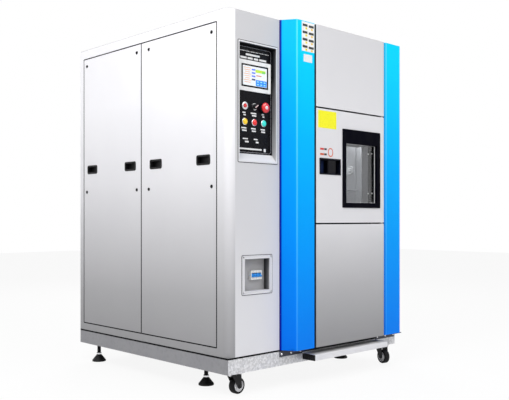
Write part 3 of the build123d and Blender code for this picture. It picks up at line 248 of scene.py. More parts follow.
def moulded(name, tone, gloss, grain=700, depth=0.08, **sockets):
    """Moulded plastic or rubber: fine grain, dull spots where it was handled and a little dust."""
    shell = Finish(name, tone, gloss, **sockets)
    dust = tuple(c * 0.88 + 0.002 for c in tone)
    shell.link(shell.tones(shell.cloud(24, 4), (0.35, dust), (0.62, tone)), "Base Color")
    shell.link(shell.spread(shell.cloud(60, 3), gloss - 0.06, gloss + 0.10), "Roughness")
    shell.relief(shell.cloud(grain, 3), depth, 0.0005)
    return shell.material


def shells(name, groups, material, body, looped=False, tones=None, crease=38):
    """Closed skins in one mesh. Each group is an array P[ring, point], and neighbouring rings are joined by
    quads. The last ring joins the first one where the skin is looped; otherwise flat faces close both ends.
    Each group may have a colour of its own, kept as the tone of its points."""
    points, faces, start = [], [], 0
    for rings in groups:
        count, around = rings.shape[:2]
        index = start + np.arange(count * around).reshape(count, around)
        beside, ahead = np.roll(index, -1, axis=1), np.roll(index, -1, axis=0)
        both = np.roll(ahead, -1, axis=1)
        kept = count if looped else count - 1
        faces += np.stack([index, beside, both, ahead], axis=-1)[:kept].reshape(-1, 4).tolist()
        if not looped:
            faces += [index[0, ::-1].tolist(), index[-1].tolist()]
        points.append(rings.reshape(-1, 3))
        start += count * around
    mesh = bpy.data.meshes.new(name)
    mesh.from_pydata(np.concatenate(points), [], faces)
    outward = bmesh.new()
    outward.from_mesh(mesh)
    bmesh.ops.recalc_face_normals(outward, faces=outward.faces)
    outward.to_mesh(mesh)
    outward.free()
    mesh.polygons.foreach_set("use_smooth", np.ones(len(mesh.polygons), bool))
    mesh.set_sharp_from_angle(angle=math.radians(crease))
    if tones is not None:
        sizes = [len(part) for part in points]
        colours = np.repeat(np.column_stack([tones, np.ones(len(tones))]), sizes, axis=0)
        mesh.color_attributes.new("tone", "FLOAT_COLOR", "POINT").data.foreach_set("color", colours.ravel())
    piece = new_piece(name, mesh, material)
    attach(piece, body)
    return piece


def round_corners(low, high, radius, steps):
    """A rectangle's outline from low to high with round corners, as points and their outward normals."""
    turns = np.concatenate([np.linspace(0, math.pi / 2, steps) + quarter * math.pi / 2
                            for quarter in range(4)])
    centres = np.repeat(np.array([[high[0] - radius, high[1] - radius], [low[0] + radius, high[1] - radius],
                                  [low[0] + radius, low[1] + radius], [high[0] - radius, low[1] + radius]]),
                        steps, 0)
    normals = np.stack([np.cos(turns), np.sin(turns)], axis=-1)
    return centres + radius * normals, normals


def framed(low, high, radius, axis, level, profile, steps=8):
    """A profile carried round a rectangle with round corners. The rectangle is square to an axis at a
    level, and each profile point is (distance outward from the outline, distance along the axis)."""
    line, out = round_corners(low, high, radius, steps)
    profile = np.asarray(profile, float)
    across = line[:, None, :] + out[:, None, :] * profile[None, :, :1]
    return np.insert(across, axis, np.broadcast_to(level + profile[None, :, 1], across.shape[:2]), axis=-1)


seal_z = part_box("body_frame")[0].z
seal_profile = [(-0.012, -0.0038), (0.0002, -0.0038), (0.0002, -0.0066), (0.0013, -0.0060), (0.0016, 0.0),
                (0.0010, 0.0016), (0.0002, 0.0016), (-0.0004, -0.0002), (-0.012, -0.0002)]
# A black finish for the deck seal, and for the black strips that paint shade and shadows in joints and under
# covers elsewhere.
seal_and_shade_finish = moulded("seal_rubber", (0.004, 0.004, 0.005), 0.7, Specular_IOR_Level=0.1)
shells("deck_seal", [framed((base_low.x, base_low.y), (base_high.x, base_high.y), 0.004, 2, seal_z,
                            seal_profile)], seal_and_shade_finish, "cabinet", looped=True)


# Casters. Two swivel at the front on kingpins and two are rigid at the rear: pressed forks,
# enamelled black, on plates bolted under the base, and wheels of solid black rubber on a
# pale plastic centre that turns on ball races.
def brushed(name, tone, along, gloss=0.28, metallic=1.0):
    """Brushed metal: noise stretched along the brushing gives fine streaks in colour, gloss and relief."""
    scale = [700.0, 700.0, 700.0]
    scale[along] = 6.0
    metal = Finish(name, tone, gloss, metallic)
    streaks = metal.cloud(1.0, 4, metal.stretched(scale))
    metal.link(metal.tones(streaks, (0.30, tuple(c * 0.80 for c in tone)), (0.70, tone)), "Base Color")
    metal.link(metal.spread(streaks, gloss - 0.06, gloss + 0.14), "Roughness")
    metal.relief(streaks, 0.10, 0.0002)
    return metal.material


def turned(profile, centre, axis, steps=32):
    """Rings of a turned piece: each profile point (place along the axis, radius) goes once round the axis."""
    axis = np.asarray(axis, float) / np.linalg.norm(axis)
    side = np.cross(axis, (0.31, 0.17, 0.93))
    side /= np.linalg.norm(side)
    turn = np.linspace(0, 2 * math.pi, steps, endpoint=False)
    around = np.cos(turn)[:, None] * side + np.sin(turn)[:, None] * np.cross(axis, side)
    profile = np.asarray(profile, float)
    return np.asarray(centre, float) + profile[:, None, :1] * axis + profile[:, None, 1:] * around


forward, upward = (0, -1, 0), (0, 0, 1)
bright_steel = brushed("bright_steel", (0.80, 0.80, 0.82), 0, 0.18)
dress(moulded("caster_enamel", (0.008, 0.008, 0.009), 0.38, 500, 0.05, Specular_IOR_Level=0.2),
      "caster_mounts", "front_left_fork", "front_right_fork")
tread_finish = moulded("tread_rubber", (0.007, 0.007, 0.008), 0.6, 350, 0.2, Specular_IOR_Level=0.15)
centre_finish = moulded("wheel_centre", (0.78, 0.78, 0.80), 0.35)
joints = {joint["name"]: joint for joint in frame["joints"]}
half_tread, tread_radius, centre_radius = 0.017, 0.040, 0.029
shoulder = np.linspace(0, math.pi / 2, 7)
tread_side = np.column_stack([half_tread - 0.006 + 0.006 * np.sin(shoulder),
                              tread_radius - 0.006 + 0.006 * np.cos(shoulder)])
tread_seat = [(-half_tread, centre_radius), (half_tread, centre_radius)]
tread_profile = np.concatenate([tread_side * (-1, 1), tread_seat, tread_side[::-1]])[::-1]
centre_side = np.array([(0.0150, centre_radius + 0.0004), (0.0176, 0.0275), (0.0176, 0.0262),
                        (0.0120, 0.0245), (0.0105, 0.018), (0.0120, 0.0145), (0.0180, 0.0138),
                        (0.0184, 0.0105), (0.0160, 0.0098), (0.0160, 0.0054)])
centre_profile = np.concatenate([centre_side, centre_side[::-1] * (-1, 1)])
race_profile = [(-0.0172, 0.0054), (-0.0182, 0.0062), (-0.0182, 0.0096), (-0.0160, 0.0100),
                (0.0160, 0.0100), (0.0182, 0.0096), (0.0182, 0.0062), (0.0172, 0.0054)]
for corner in ("front_left", "front_right", "rear_left", "rear_right"):
    hub, axle = joints[f"{corner}_roll"]["pos_m"], joints[f"{corner}_roll"]["axis"]
    roller = f"{corner}_roller"
    tread = shells(f"{corner}_tread", [turned(tread_profile, hub, axle, 48)], tread_finish, roller,
                   looped=True)
    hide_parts(f"{corner}_wheel")
    shells(f"{corner}_wheel_centre", [turned(centre_profile, hub, axle, 48)], centre_finish, roller,
           looped=True)
    shells(f"{corner}_ball_race", [turned(race_profile, hub, axle, 32)], bright_steel, roller,
           looped=True)

plate_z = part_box("caster_mounts")[1].z - 0.006
bolt_profile = [(0.0, 0.0068), (-0.0042, 0.0068), (-0.0050, 0.0058), (-0.0050, 0.0004)]
plate_bolts = []
for name in ("left_swivel_turn", "right_swivel_turn", "rear_left_roll", "rear_right_roll"):
    x, y, _ = joints[name]["pos_m"]
    plate_bolts += [turned(bolt_profile, (x + dx, y + dy, plate_z), upward, 6)
                    for dx in (-0.036, 0.036) for dy in (-0.024, 0.024)]
shells("caster_bolts", plate_bolts, bright_steel, "cabinet", crease=20)


# Levelling feet. A black nylon pad takes a blackened stud, which screws through the base and
# is held by a lock nut. A bright nut above the pad is there for the spanner.
def threaded(low, high, radius, pitch=0.0015, depth=0.0009):
    """Turned profile of a screw thread: the radius falls and rises by a triangle wave once per pitch."""
    turns = int(round((high - low) / pitch))
    place = np.linspace(low, high, 2 * turns + 1)
    return np.column_stack([place, radius - depth * (np.arange(len(place)) % 2)])


dress(moulded("foot_nylon", (0.010, 0.010, 0.011), 0.45, Specular_IOR_Level=0.2), "front_left_foot",
      "front_right_foot", "rear_left_foot", "rear_right_foot")
stud_steel = brushed("stud_steel", (0.035, 0.035, 0.040), 2, 0.34, 0.6)
nut_face = [(0.0, 0.0120), (0.0, 0.0150), (0.0012, 0.0163), (0.0088, 0.0163), (0.0100, 0.0150),
            (0.0100, 0.0120)]
for corner in ("front_left", "front_right", "rear_left", "rear_right"):
    x, y, _ = joints[f"{corner}_foot_screw"]["pos_m"]
    lower_nut, lock_nut = (turned(np.array(nut_face) + (low, 0), (x, y, 0), upward, 6)
                           for low in (0.040, 0.0945))
    shells(f"{corner}_stud", [turned(threaded(0.0505, 0.0935, 0.0108), (x, y, 0), upward, 28), lock_nut],
           stud_steel, f"{corner}_leg", crease=20)
    shells(f"{corner}_nut", [lower_nut], bright_steel, f"{corner}_leg", crease=20)


# Cabinet frame. Folded posts and rails in light powder coat, with rounded corner posts at
# the front, welded into one frame and closed by a roof sheet.
def powder_coat(name, stops, gloss=0.36, grain=0.10, shade=None, **sockets):
    """Sprayed and baked coat: its tone follows the height as painted light and shade from top to
    bottom, slow clouds shift it a little, and fine noise makes the orange peel. A shade may paint
    further shade or light into the colour."""
    coat = Finish(name, stops[0][1], gloss, **sockets)
    height = coat.spread(coat.along(2), 0, 1, 0, 2)
    # Painted light and shade: the tone is set by the height.
    painted_height_light = coat.tones(height, *((z / 2, tone) for z, tone in stops))
    clouded = coat.tones(coat.cloud(2.3), (0.30, (0.965, 0.965, 0.97)), (0.70, (1, 1, 1)))
    colour = coat.joined(painted_height_light, clouded)
    coat.link(shade(coat, colour) if shade else colour, "Base Color")
    coat.link(coat.spread(coat.cloud(150), gloss - 0.05, gloss + 0.07), "Roughness")
    coat.relief(coat.cloud(520, 2), grain, 0.0004)
    return coat.material


def greys(*stops):
    """Cool greys, one per height."""
    return [(z, (tone, tone * 0.995, tone * 1.03)) for z, tone in stops]


def painted_joint_shade(upright_axis, signs):
    """Painted shade in the joints: the edges that a sheet turns to the joints beside, over and under it are
    painted black, below the roof.
    """
    def shade(coat, colour):
        under_roof = coat.spread(coat.along(2), 1, 0, 1.81, 1.82)
        joint_shade = coat.reckon("MULTIPLY", under_roof, coat.reckon("MAXIMUM", coat.facing(2, 1),
                                                                coat.facing(2, -1)))
        for sign in signs:
            joint_shade = coat.reckon("MAXIMUM", joint_shade, coat.facing(upright_axis, sign, 0.72, 0.86))
        return coat.joined(colour, (0.003, 0.003, 0.004, 1), "MIX", joint_shade)
    return shade


# Painted light: the side greys run from dark low down to nearly white at the top.
side_stops = greys((0.20, 0.29), (0.45, 0.38), (1.05, 0.77), (1.50, 0.94), (1.85, 0.96))
dress(powder_coat("side_coat", side_stops), "rear_panel")
dress(powder_coat("roof_coat", greys((1.80, 0.52), (1.90, 0.52))), "roof_panel")
# Painted shade: the frame's edges facing up and down into the joints are black, and so are the pans' edges at
# their joints.
dress(powder_coat("frame_coat", side_stops, shade=painted_joint_shade(1, ())), "body_frame")
dress(powder_coat("pan_coat", side_stops, shade=painted_joint_shade(1, (-1, 1))), "left_front_panel",
      "left_rear_panel", "right_front_panel", "right_rear_panel")


# Side panels. Four lift-off pans with a black strip in the joint round each one, as painted
# shade, two black recessed grips, pressed in with a rounded rim, and four black screws with a
# socket. Six more screws hold the rear panel, and six bright ones the brackets of the columns.
black_plastic = moulded("black_plastic", (0.007, 0.007, 0.008), 0.42, Specular_IOR_Level=0.22)
dress(black_plastic, "panel_grips", "step_end_caps", "mode_selector", "service_fittings")
rim_profile = np.array([(-8.0, -0.3), (-8.0, 1.2), (-7.2, 2.4), (-5.4, 3.0), (-2.4, 3.0), (-0.6, 2.2),
                        (0.3, 0.5), (0.3, -0.3)]) / 1000
screw_profile = np.array([(-2, 7.1), (0.9, 7.1), (2.2, 6.6), (3.3, 5.4), (4.0, 3.8), (4.0, 2.7), (1.6, 2.6),
                          (1.6, 0.1)]) / 1000
strip_profile = np.array([(-3.0, -0.2), (-3.0, 0.5), (-2.2, 0.9), (2.2, 0.9), (3.0, 0.5), (3.0, -0.2)]) / 1000
grip_z, grip_half, grip_rise = 1.138, 0.0525, 0.025
grip_rims, pan_strips, black_screws, bright_screws = [], [], [], []
for side, x in (("left", base_low.x), ("right", base_high.x)):
    outward = -1 if side == "left" else 1
    for place, grips, screws in (("front", (0.099, 0.130), (0.036, 0.068)),
                                 ("rear", (0.103, 0.093), (0.040, 0.034))):
        low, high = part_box(f"{side}_{place}_panel")
        pan_strips.append(framed((low.y - 0.001, low.z - 0.001), (high.y + 0.001, high.z + 0.001), 0.004, 0,
                                 x, strip_profile * (1, outward)))
        for y in (low.y + grips[0], high.y - grips[1]):
            grip_rims.append(framed((y - grip_half, grip_z - grip_rise),
                                    (y + grip_half, grip_z + grip_rise), 0.010, 0, x,
                                    rim_profile * (1, outward)))
        for y in (low.y + screws[0], high.y - screws[1]):
            black_screws += [turned(screw_profile * 1.25, (x, y, z), (outward, 0, 0), 20)
                             for z in (high.z - 0.043, grip_z - 0.131)]
shells("grip_rims", grip_rims, black_plastic, "cabinet", looped=True)
# Painted shade: black strips lie in the joints round the pans.
shells("pan_strips", pan_strips, seal_and_shade_finish, "cabinet", looped=True)
rear_low, rear_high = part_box("rear_panel")
for x in (rear_low.x + 0.014, rear_high.x - 0.014):
    for z in (rear_low.z + 0.060, (rear_low.z + rear_high.z) / 2, rear_high.z - 0.060):
        black_screws.append(turned(screw_profile, (x, base_high.y, z), (0, 1, 0), 20))
bracket_low, bracket_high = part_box("column_brackets")
for start, stop in ((bracket_low.x, bracket_low.x + 0.166), (bracket_high.x - 0.1775, bracket_high.x)):
    for x in (start + 0.013, (start + stop) / 2, stop - 0.013):
        bright_screws.append(turned(screw_profile, (x, base_low.y - 0.003, bracket_low.z + 0.0155),
                                    forward, 20))
screws = shells("panel_screws", black_screws, black_plastic, "cabinet")
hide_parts("dome_screws")
shells("bracket_bolts", bright_screws, bright_steel, "cabinet")


# Control column front. A folded sheet beside the side panels, in the same pale coat as the
# fronts, with a cut-out for the tray of the control panel and one for the breaker pocket.
dress(powder_coat("column_coat", greys((0.20, 0.72), (1.00, 0.62), (1.85, 0.54))), "control_column")


# Control panel. A tray with a raised pale rim and a sloped sill holds a glossy black plate,
# printed with a white line and with rows of white marks over and under the controls. The
# marks are plain bars here.
def tray_shade(back, rim, low, high):
    """Painted shade inside a tray: the wall on its right and the one at its top are painted dark, black at
    the back, grey at the rim, and paler towards the low end."""
    def shade(coat, colour):
        depth = coat.spread(coat.along(1), 0, 1, back, rim)
        inside = coat.tones(depth, (0.10, (0.004, 0.004, 0.006)), (0.55, (0.030, 0.030, 0.034)),
                            (0.86, (0.16, 0.16, 0.17)), (0.95, (0.66, 0.66, 0.68)))
        shaded = coat.reckon("MULTIPLY", coat.facing(0, -1), coat.spread(coat.along(2), 0.45, 1, low, high))
        return coat.joined(colour, inside, "MIX", coat.reckon("MAXIMUM", shaded, coat.facing(2, -1)))
    return shade


tray_low, tray_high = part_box("control_bezel")
# Painted shade on the tray's right and upper walls.
tray_painted_shade = tray_shade(tray_high.y, tray_low.y, tray_low.z + 0.05, tray_high.z - 0.15)
dress(powder_coat("tray_coat", greys((1.13, 0.70), (1.70, 0.72)), shade=tray_painted_shade), "control_bezel")
# Painted shadow: a thin black strip round the tray's rim.
rim_shadow_strip = [(0.0002, 0.0003), (0.0002, -0.0014), (0.0030, -0.0010), (0.0030, 0.0003)]
shells("tray_shadow_strip", [framed((tray_low.x, tray_low.z), (tray_high.x, tray_high.z), 0.003, 1,
                            tray_low.y + 0.002, rim_shadow_strip)], seal_and_shade_finish, "cabinet",
       looped=True)
dress(moulded("panel_sheet", (0.003, 0.003, 0.005), 0.26, 300, 0.03, Specular_IOR_Level=0.10),
      "control_plate")


def plate(low, high, radius, axis, levels, steps=5):
    """Rings of a round-cornered plate, square to an axis: each level is (place along it, margin inward)."""
    line, out = round_corners(low, high, radius, steps)
    levels = np.asarray(levels, float)
    across = line[None] - out[None] * levels[:, None, 1:]
    return np.insert(across, axis, np.broadcast_to(levels[:, :1], across.shape[:2]), axis=-1)


def bar(x, z, width, height, y, proud=0.0003):
    """A printed bar, centred at x and z, that stands a hair proud of a front face at y."""
    half = (width / 2, height / 2)
    return plate((x - half[0], z - half[1]), (x + half[0], z + half[1]),
                 min(half[0] * 0.6, half[1] * 0.6, 0.0012), 1, [(y + 0.0004, 0), (y - proud, 0)], 2)


def printed(name, gloss=0.32, strength=0.0):
    """Screen print or a lit picture: each mark brings its own colour, and fine noise breaks it up."""
    ink = Finish(name, (0.5, 0.5, 0.5), gloss)
    mark = ink.node("ShaderNodeAttribute", attribute_name="tone").outputs["Color"]
    worn = ink.tones(ink.cloud(240, 3), (0.30, (0.86, 0.86, 0.86)), (0.60, (1, 1, 1)))
    shown = ink.joined(mark, worn)
    ink.link(shown, "Base Color")
    ink.link(ink.spread(ink.cloud(90), gloss - 0.05, gloss + 0.08), "Roughness")
    if strength:
        ink.link(shown, "Emission Color")
        ink.set(Emission_Strength=strength)
    return ink.material


print_white = (0.80, 0.80, 0.80)
ink_finish = printed("print_ink")
board_low, board_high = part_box("control_plate")
board_y, board_x = board_low.y, (board_low.x + board_high.x) / 2
row_z, lamp_z = board_high.z - 0.299, board_high.z - 0.376
switch_pitch = 0.064
columns = (board_x - switch_pitch, board_x, board_x + switch_pitch)
marks = [bar(board_x - 0.100 + 0.0105 * n, board_high.z - 0.031, 0.0075 - 0.003 * (n % 3 == 1), 0.0038,
             board_y) for n in range(20)]
marks += [bar(board_x - 0.008, board_high.z - 0.047, 0.094, 0.0095, board_y)]
marks += [bar(board_x + at, board_high.z - 0.064, wide, 0.0095, board_y)
          for at, wide in ((-0.070, 0.042), (-0.026, 0.034), (0.014, 0.030), (0.060, 0.048))]
for x, wide in zip(columns, (0.020, 0.038, 0.016)):
    marks += [bar(x - 0.003, row_z - 0.033, wide, 0.0065, board_y),
              bar(x + 0.001, row_z - 0.044, wide * 0.8, 0.0065, board_y)]
for x, wide in zip(columns, (0.034, 0.031, 0.030)):
    marks += [bar(x - 0.004, lamp_z - 0.031, wide, 0.0065, board_y),
              bar(x - 0.001, lamp_z - 0.043, wide * 0.9, 0.0070, board_y)]
for x, wide in ((board_x - 0.052, 0.034), (board_x + 0.018, 0.026)):
    marks += [bar(x - 0.006, lamp_z - 0.083, wide, 0.0060, board_y),
              bar(x + 0.004, lamp_z - 0.097, wide * 0.72, 0.0080, board_y)]
marks += [bar(board_x - 0.026, board_low.z + 0.024, 0.158, 0.0075, board_y),
          bar(board_x + 0.074, board_low.z + 0.022, 0.014, 0.0150, board_y)]
outline = [(0.0, 0.0002), (0.0, -0.0003), (0.0012, -0.0003), (0.0012, 0.0002)]
shells("panel_print", marks, ink_finish, "cabinet", tones=[print_white] * len(marks))
shells("panel_outline", [framed((board_low.x + 0.012, board_low.z + 0.008),
                                (board_high.x - 0.010, board_high.z - 0.012), 0.012, 1, board_y, outline)],
       ink_finish, "cabinet", looped=True, tones=[(0.45, 0.45, 0.50)])


# Touch screen. A white moulded bezel with a black glass set in it. The picture behind the
# glass is lit: a pale page with thin orange rows, a column of blue fields, a green and a red
# field, and a blue keypad.
dress(moulded("bezel_white", (0.84, 0.84, 0.84), 0.34), "touch_panel")
touch_low, touch_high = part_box("touch_panel")
touch_x, touch_z = (touch_low.x + touch_high.x) / 2, (touch_low.z + touch_high.z) / 2
touch_y = touch_low.y + 0.0015
glass_half, page_half = (0.0905, 0.0555), (0.0815, 0.0475)
shells("screen_glass", [plate((touch_x - glass_half[0], touch_z - glass_half[1]),
                              (touch_x + glass_half[0], touch_z + glass_half[1]), 0.003, 1,
                              [(touch_y, 0), (touch_y - 0.0009, 0), (touch_y - 0.0011, 0.0004)])],
       moulded("screen_black", (0.003, 0.003, 0.004), 0.14, 200, 0.01, Specular_IOR_Level=0.12), "cabinet")


def tile(u, v, wide, tall, colour, layer=1):
    """A field of the picture, placed and sized in shares of the page. A higher layer lies on top."""
    x, z = touch_x + (2 * u - 1) * page_half[0], touch_z + (2 * v - 1) * page_half[1]
    return bar(x, z, 2 * page_half[0] * wide, 2 * page_half[1] * tall, touch_y - 0.0011,
               0.00015 * layer), colour


page = [tile(0.5, 0.5, 1.0, 1.0, (0.80, 0.83, 0.86))]
page += [tile(0.19, 0.90 - 0.105 * n, 0.30 - 0.05 * (n % 3), 0.032, (0.80, 0.42 - 0.03 * (n % 2), 0.22), 2)
         for n in range(8)]
page += [tile(0.44, 0.84 - 0.17 * n, 0.15, 0.085, (0.12, 0.20, 0.78) if n < 3 else (0.02, 0.04, 0.16), 2)
         for n in range(4)]
page += [tile(0.73, 0.79, 0.42, 0.15, (0.50, 0.74, 0.05), 2),
         tile(0.86, 0.76, 0.14, 0.10, (0.16, 0.62, 0.10), 3),
         tile(0.66, 0.56, 0.22, 0.05, (0.62, 0.14, 0.07), 2),
         tile(0.76, 0.18, 0.46, 0.32, (0.02, 0.25, 0.86), 2)]
page += [tile(0.62 + 0.14 * (n % 3), 0.25 - 0.14 * (n // 3), 0.08, 0.06, (0.30, 0.70, 0.92), 3)
         for n in range(6)]
shells("screen_picture", [shape for shape, _ in page], printed("screen_light", 0.20, 0.15), "cabinet",
       tones=[colour for _, colour in page])


# Switches. Three plated collars hold a push button, a selector with a pale pointer and a
# mushroom stop button, which latches when it is pushed and has a white disc on its crown.
# A row of three lamps below them has domed lenses in plated rings.
dress(bright_steel, "switch_collars")


def glossy(name, tone):
    """Polished plastic: nearly one tone, with faint moulding clouds in its gloss."""
    lens_finish = Finish(name, tone, 0.2, Coat_Weight=0.6)
    lens_finish.link(lens_finish.tones(lens_finish.cloud(90), (0.3, tuple(c * 0.85 for c in tone)),
                                       (0.7, tone)), "Base Color")
    lens_finish.link(lens_finish.spread(lens_finish.cloud(140), 0.12, 0.26), "Roughness")
    return lens_finish.material


signal_red = glossy("signal_red", (0.74, 0.008, 0.012))
button_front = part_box("power_button")[0].y
button = turned([(0.0, 0.0094), (0.0032, 0.0094), (0.0040, 0.0088), (0.0034, 0.0074), (0.0030, 0.0040),
                 (0.0029, 0.0002)], (columns[0], button_front + 0.0040, row_z), forward, 32)
shells("power_cap", [button], signal_red, "power")
dress(signal_red, "power_button", "emergency_stop")
ring_profile = [(0.0, 0.0196), (0.0012, 0.0198), (0.0036, 0.0188), (0.0056, 0.0166), (0.0060, 0.0140),
                (0.0056, 0.0112), (0.0040, 0.0106), (0.0, 0.0106)]
shells("button_ring", [turned(ring_profile, (columns[0], board_y, row_z), forward, 40)], bright_steel,
       "cabinet", looped=True)
stop_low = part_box("emergency_stop")[0]
stop_rise = np.linspace(0, math.pi / 2, 9)
mushroom = [(0.0, 0.0120), (0.0008, 0.0235), (0.0030, 0.0252), (0.0062, 0.0254)]
mushroom += list(np.column_stack([0.0062 + 0.0070 * np.sin(stop_rise),
                                  0.0004 + 0.0250 * np.cos(stop_rise) ** 0.8]))[1:]
stop_stem = [(-0.0245, 0.0099), (0.002, 0.0099)]
stop_seat = (columns[2], stop_low.y + 0.0132, row_z)
stop_cap = shells("stop_mushroom", [turned(mushroom, stop_seat, forward, 40),
                                    turned(stop_stem, stop_seat, forward, 32)],
                  signal_red, "emergency")
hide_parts("emergency_stop")
crown = [(-0.0004, 0.0090), (0.0004, 0.0090), (0.0009, 0.0080), (0.0010, 0.0004)]
shells("stop_disc", [turned(crown, (columns[2], stop_low.y, row_z), forward, 32)],
       moulded("disc_white", (0.80, 0.74, 0.74), 0.35), "emergency")
lever_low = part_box("mode_selector")[0]
lean = math.radians(35)
pointer = plate((-0.0025, -0.0115), (0.0025, 0.0125), 0.0022, 1,
                [(lever_low.y + 0.0002, 0), (lever_low.y - 0.0006, 0.0003)], 4)
turn_x = pointer[..., 0] * math.sin(lean) + pointer[..., 2] * math.cos(lean)
turn_z = -pointer[..., 0] * math.cos(lean) + pointer[..., 2] * math.sin(lean)
pointer[..., 0], pointer[..., 2] = turn_x + columns[1], turn_z + row_z
shells("selector_pointer", [pointer], moulded("pointer_pink", (0.90, 0.66, 0.66), 0.35), "mode")
lamp_ring = [(0.0, 0.0182), (0.0030, 0.0182), (0.0050, 0.0170), (0.0056, 0.0156), (0.0040, 0.0148),
             (0.0, 0.0148)]
dome = np.linspace(0, math.pi / 2 - 0.03, 9)
lens_profile = [(0.0, 0.0150)] + list(np.column_stack([0.0040 + 0.0078 * np.sin(dome),
                                                       0.0150 * np.cos(dome)]))
lamp_tones = ((0.90, 0.58, 0.02), (0.72, 0.02, 0.02), (0.03, 0.66, 0.58))
rings = shells("lamp_rings", [turned(lamp_ring, (x, board_y, lamp_z), forward, 32) for x in columns],
               bright_steel, "cabinet", looped=True)
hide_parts("pilot_lamps")
shells("lamp_lenses", [turned(lens_profile, (x, board_y, lamp_z), forward, 32) for x in columns],
       printed("lens_plastic", 0.16, 0.20), "cabinet", tones=lamp_tones)


# Breaker pocket. A folded grey tray, with painted shade on its right and upper walls, and a flat
# rim with a black strip round it as a painted shadow. A white moulded breaker of four poles
# comes through its back, with blue toggles tied together, a screw over and under each pole,
# and a dark joint between the poles.
pocket_low, pocket_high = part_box("breaker_recess")
pocket_painted_shade = tray_shade(pocket_high.y + 0.02, pocket_low.y, pocket_low.z - 0.20, pocket_low.z)
dress(powder_coat("pocket_coat", greys((0.48, 0.44), (0.68, 0.40)), 0.45, 0.3, shade=pocket_painted_shade),
      "breaker_recess")
dress(moulded("breaker_white", (0.84, 0.84, 0.82), 0.30), "circuit_breaker")
dress(moulded("toggle_blue", (0.02, 0.30, 0.85), 0.30), "breaker_toggle")
nose_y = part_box("circuit_breaker")[0].y
nose_x, nose_z = (pocket_low.x + pocket_high.x) / 2 + 0.016, (pocket_low.z + pocket_high.z) / 2 - 0.004
pole_pitch = 0.018
poles = nose_x + pole_pitch * np.arange(-1.5, 2)
shells("breaker_joints", [bar(nose_x + pole_pitch * n, nose_z, 0.0009, 0.0445, nose_y) for n in (-1, 0, 1)],
       moulded("joint_dark", (0.05, 0.05, 0.05), 0.6), "cabinet")
terminal = [(-0.001, 0.0034), (0.0005, 0.0034), (0.0005, 0.0026), (-0.0004, 0.0022), (-0.0004, 0.0002)]
shells("breaker_screws", [turned(terminal, (x, nose_y, nose_z + dz), forward, 16) for x in poles
                          for dz in (-0.0168, 0.0168)], bright_steel, "cabinet")
pocket_corners = ((pocket_low.x, pocket_low.z), (pocket_high.x, pocket_high.z))
pocket_rim = [(-0.0165, 0.0004), (-0.0165, -0.0022), (-0.0150, -0.0032), (-0.0130, -0.0024),
              (-0.0030, -0.0024), (-0.0010, -0.0032), (0.0004, -0.0020), (0.0004, 0.0004)]
shells("pocket_rim", [framed(*pocket_corners, 0.004, 1, pocket_low.y + 0.002, pocket_rim)],
       powder_coat("rim_coat", greys((0.4, 0.66), (0.7, 0.68)), 0.3), "cabinet", looped=True)
# Painted shadow: a thin black strip round the pocket's rim.
shells("pocket_shadow_strip", [framed(*pocket_corners, 0.004, 1, pocket_low.y + 0.002, rim_shadow_strip)], seal_and_shade_finish,
       "cabinet", looped=True)


# Fronts. The covers are folded pans like the door. Their edges at the joints are painted black
# as shade, the fascia behind them is black as painted shade, and a black apron below is a
# painted shadow. The two columns beside them are folded from sheet with a gloss blue coat,
# with painted light on the fold and painted shade beside it, each on a dark plate on the base.
def painted_column_light(start, crest):
    """Painted light on a column's coat: a painted shadow, dark, in the joint where its left side
    starts, painted shade over that side and a painted highlight on the fold, most of all near the top."""
    def shade(coat, colour):
        across = coat.along(0)
        # Painted shadow in the joint and painted shade over the left side.
        side = coat.tones(coat.spread(across, 0, 1, start, crest), (0.0, (0.0, 0.0, 0.05)),
                          (0.10, (0.0, 0.04, 0.45)), (0.16, (0.5, 0.72, 0.86)), (0.90, (0.5, 0.76, 0.9)),
                          (1.0, (1, 1, 1)))
        # Painted highlight: a narrow band on the fold is mixed towards pale cyan, stronger near the top.
        near = coat.reckon("MULTIPLY", coat.spread(across, 0, 1, crest - 0.003, crest),
                           coat.spread(across, 1, 0, crest + 0.002, crest + 0.006))
        lit = coat.reckon("MULTIPLY", near, coat.spread(coat.along(2), 0.12, 0.50, 0.2, 1.85))
        return coat.joined(coat.joined(colour, side), (0.25, 0.80, 1.0, 1), "MIX", lit)
    return shade


# Painted light and shade: the covers' grey is dark low down and pale higher up, and their edges at the joints
# are painted black as shade.
cover_coat = powder_coat("cover_coat", greys((0.20, 0.27), (0.50, 0.43), (0.74, 0.61), (0.84, 0.71),
                                             (1.00, 0.71), (1.40, 0.71), (1.85, 0.62)),
                         shade=painted_joint_shade(0, (-1,)))
dress(cover_coat, "door_shell", "upper_cover", "lower_cover")
# Painted shade: the fascia in the deep gaps behind the covers is black.
dress(moulded("fascia_painted_shade", (0.003, 0.003, 0.004), 0.5, Specular_IOR_Level=0.1), "front_fascia")
# Painted light: the blue runs from deep low down to pale cyan at the top.
blue_stops = [(0.20, (0.0, 0.21, 0.90)), (0.60, (0.0, 0.30, 0.96)), (1.10, (0.0, 0.43, 1.0)),
              (1.70, (0.0, 0.64, 1.0)), (1.85, (0.0, 0.66, 1.0))]
for side, slope in (("left", 0.0485), ("right", 0.010)):
    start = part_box(f"{side}_column")[0].x
    dress(powder_coat(f"{side}_blue_coat", blue_stops, 0.34, 0.03, painted_column_light(start, start + slope),
                      Specular_IOR_Level=0.06), f"{side}_column")
# Painted shadow: a black apron stands on the base where the lower cover shades it.
apron_x = (bracket_low.x + 0.168, bracket_high.x - 0.180)
shells("cover_shadow_apron", [plate((apron_x[0], 0.160), (apron_x[1], seal_z), 0.002, 1,
                             [(base_low.y + 0.0002, 0), (base_low.y - 0.0016, 0)])], seal_and_shade_finish, "cabinet")
dress(powder_coat("bracket_coat", [(0.15, (0.014, 0.016, 0.035)), (0.20, (0.02, 0.024, 0.05))], 0.4),
      "column_brackets")


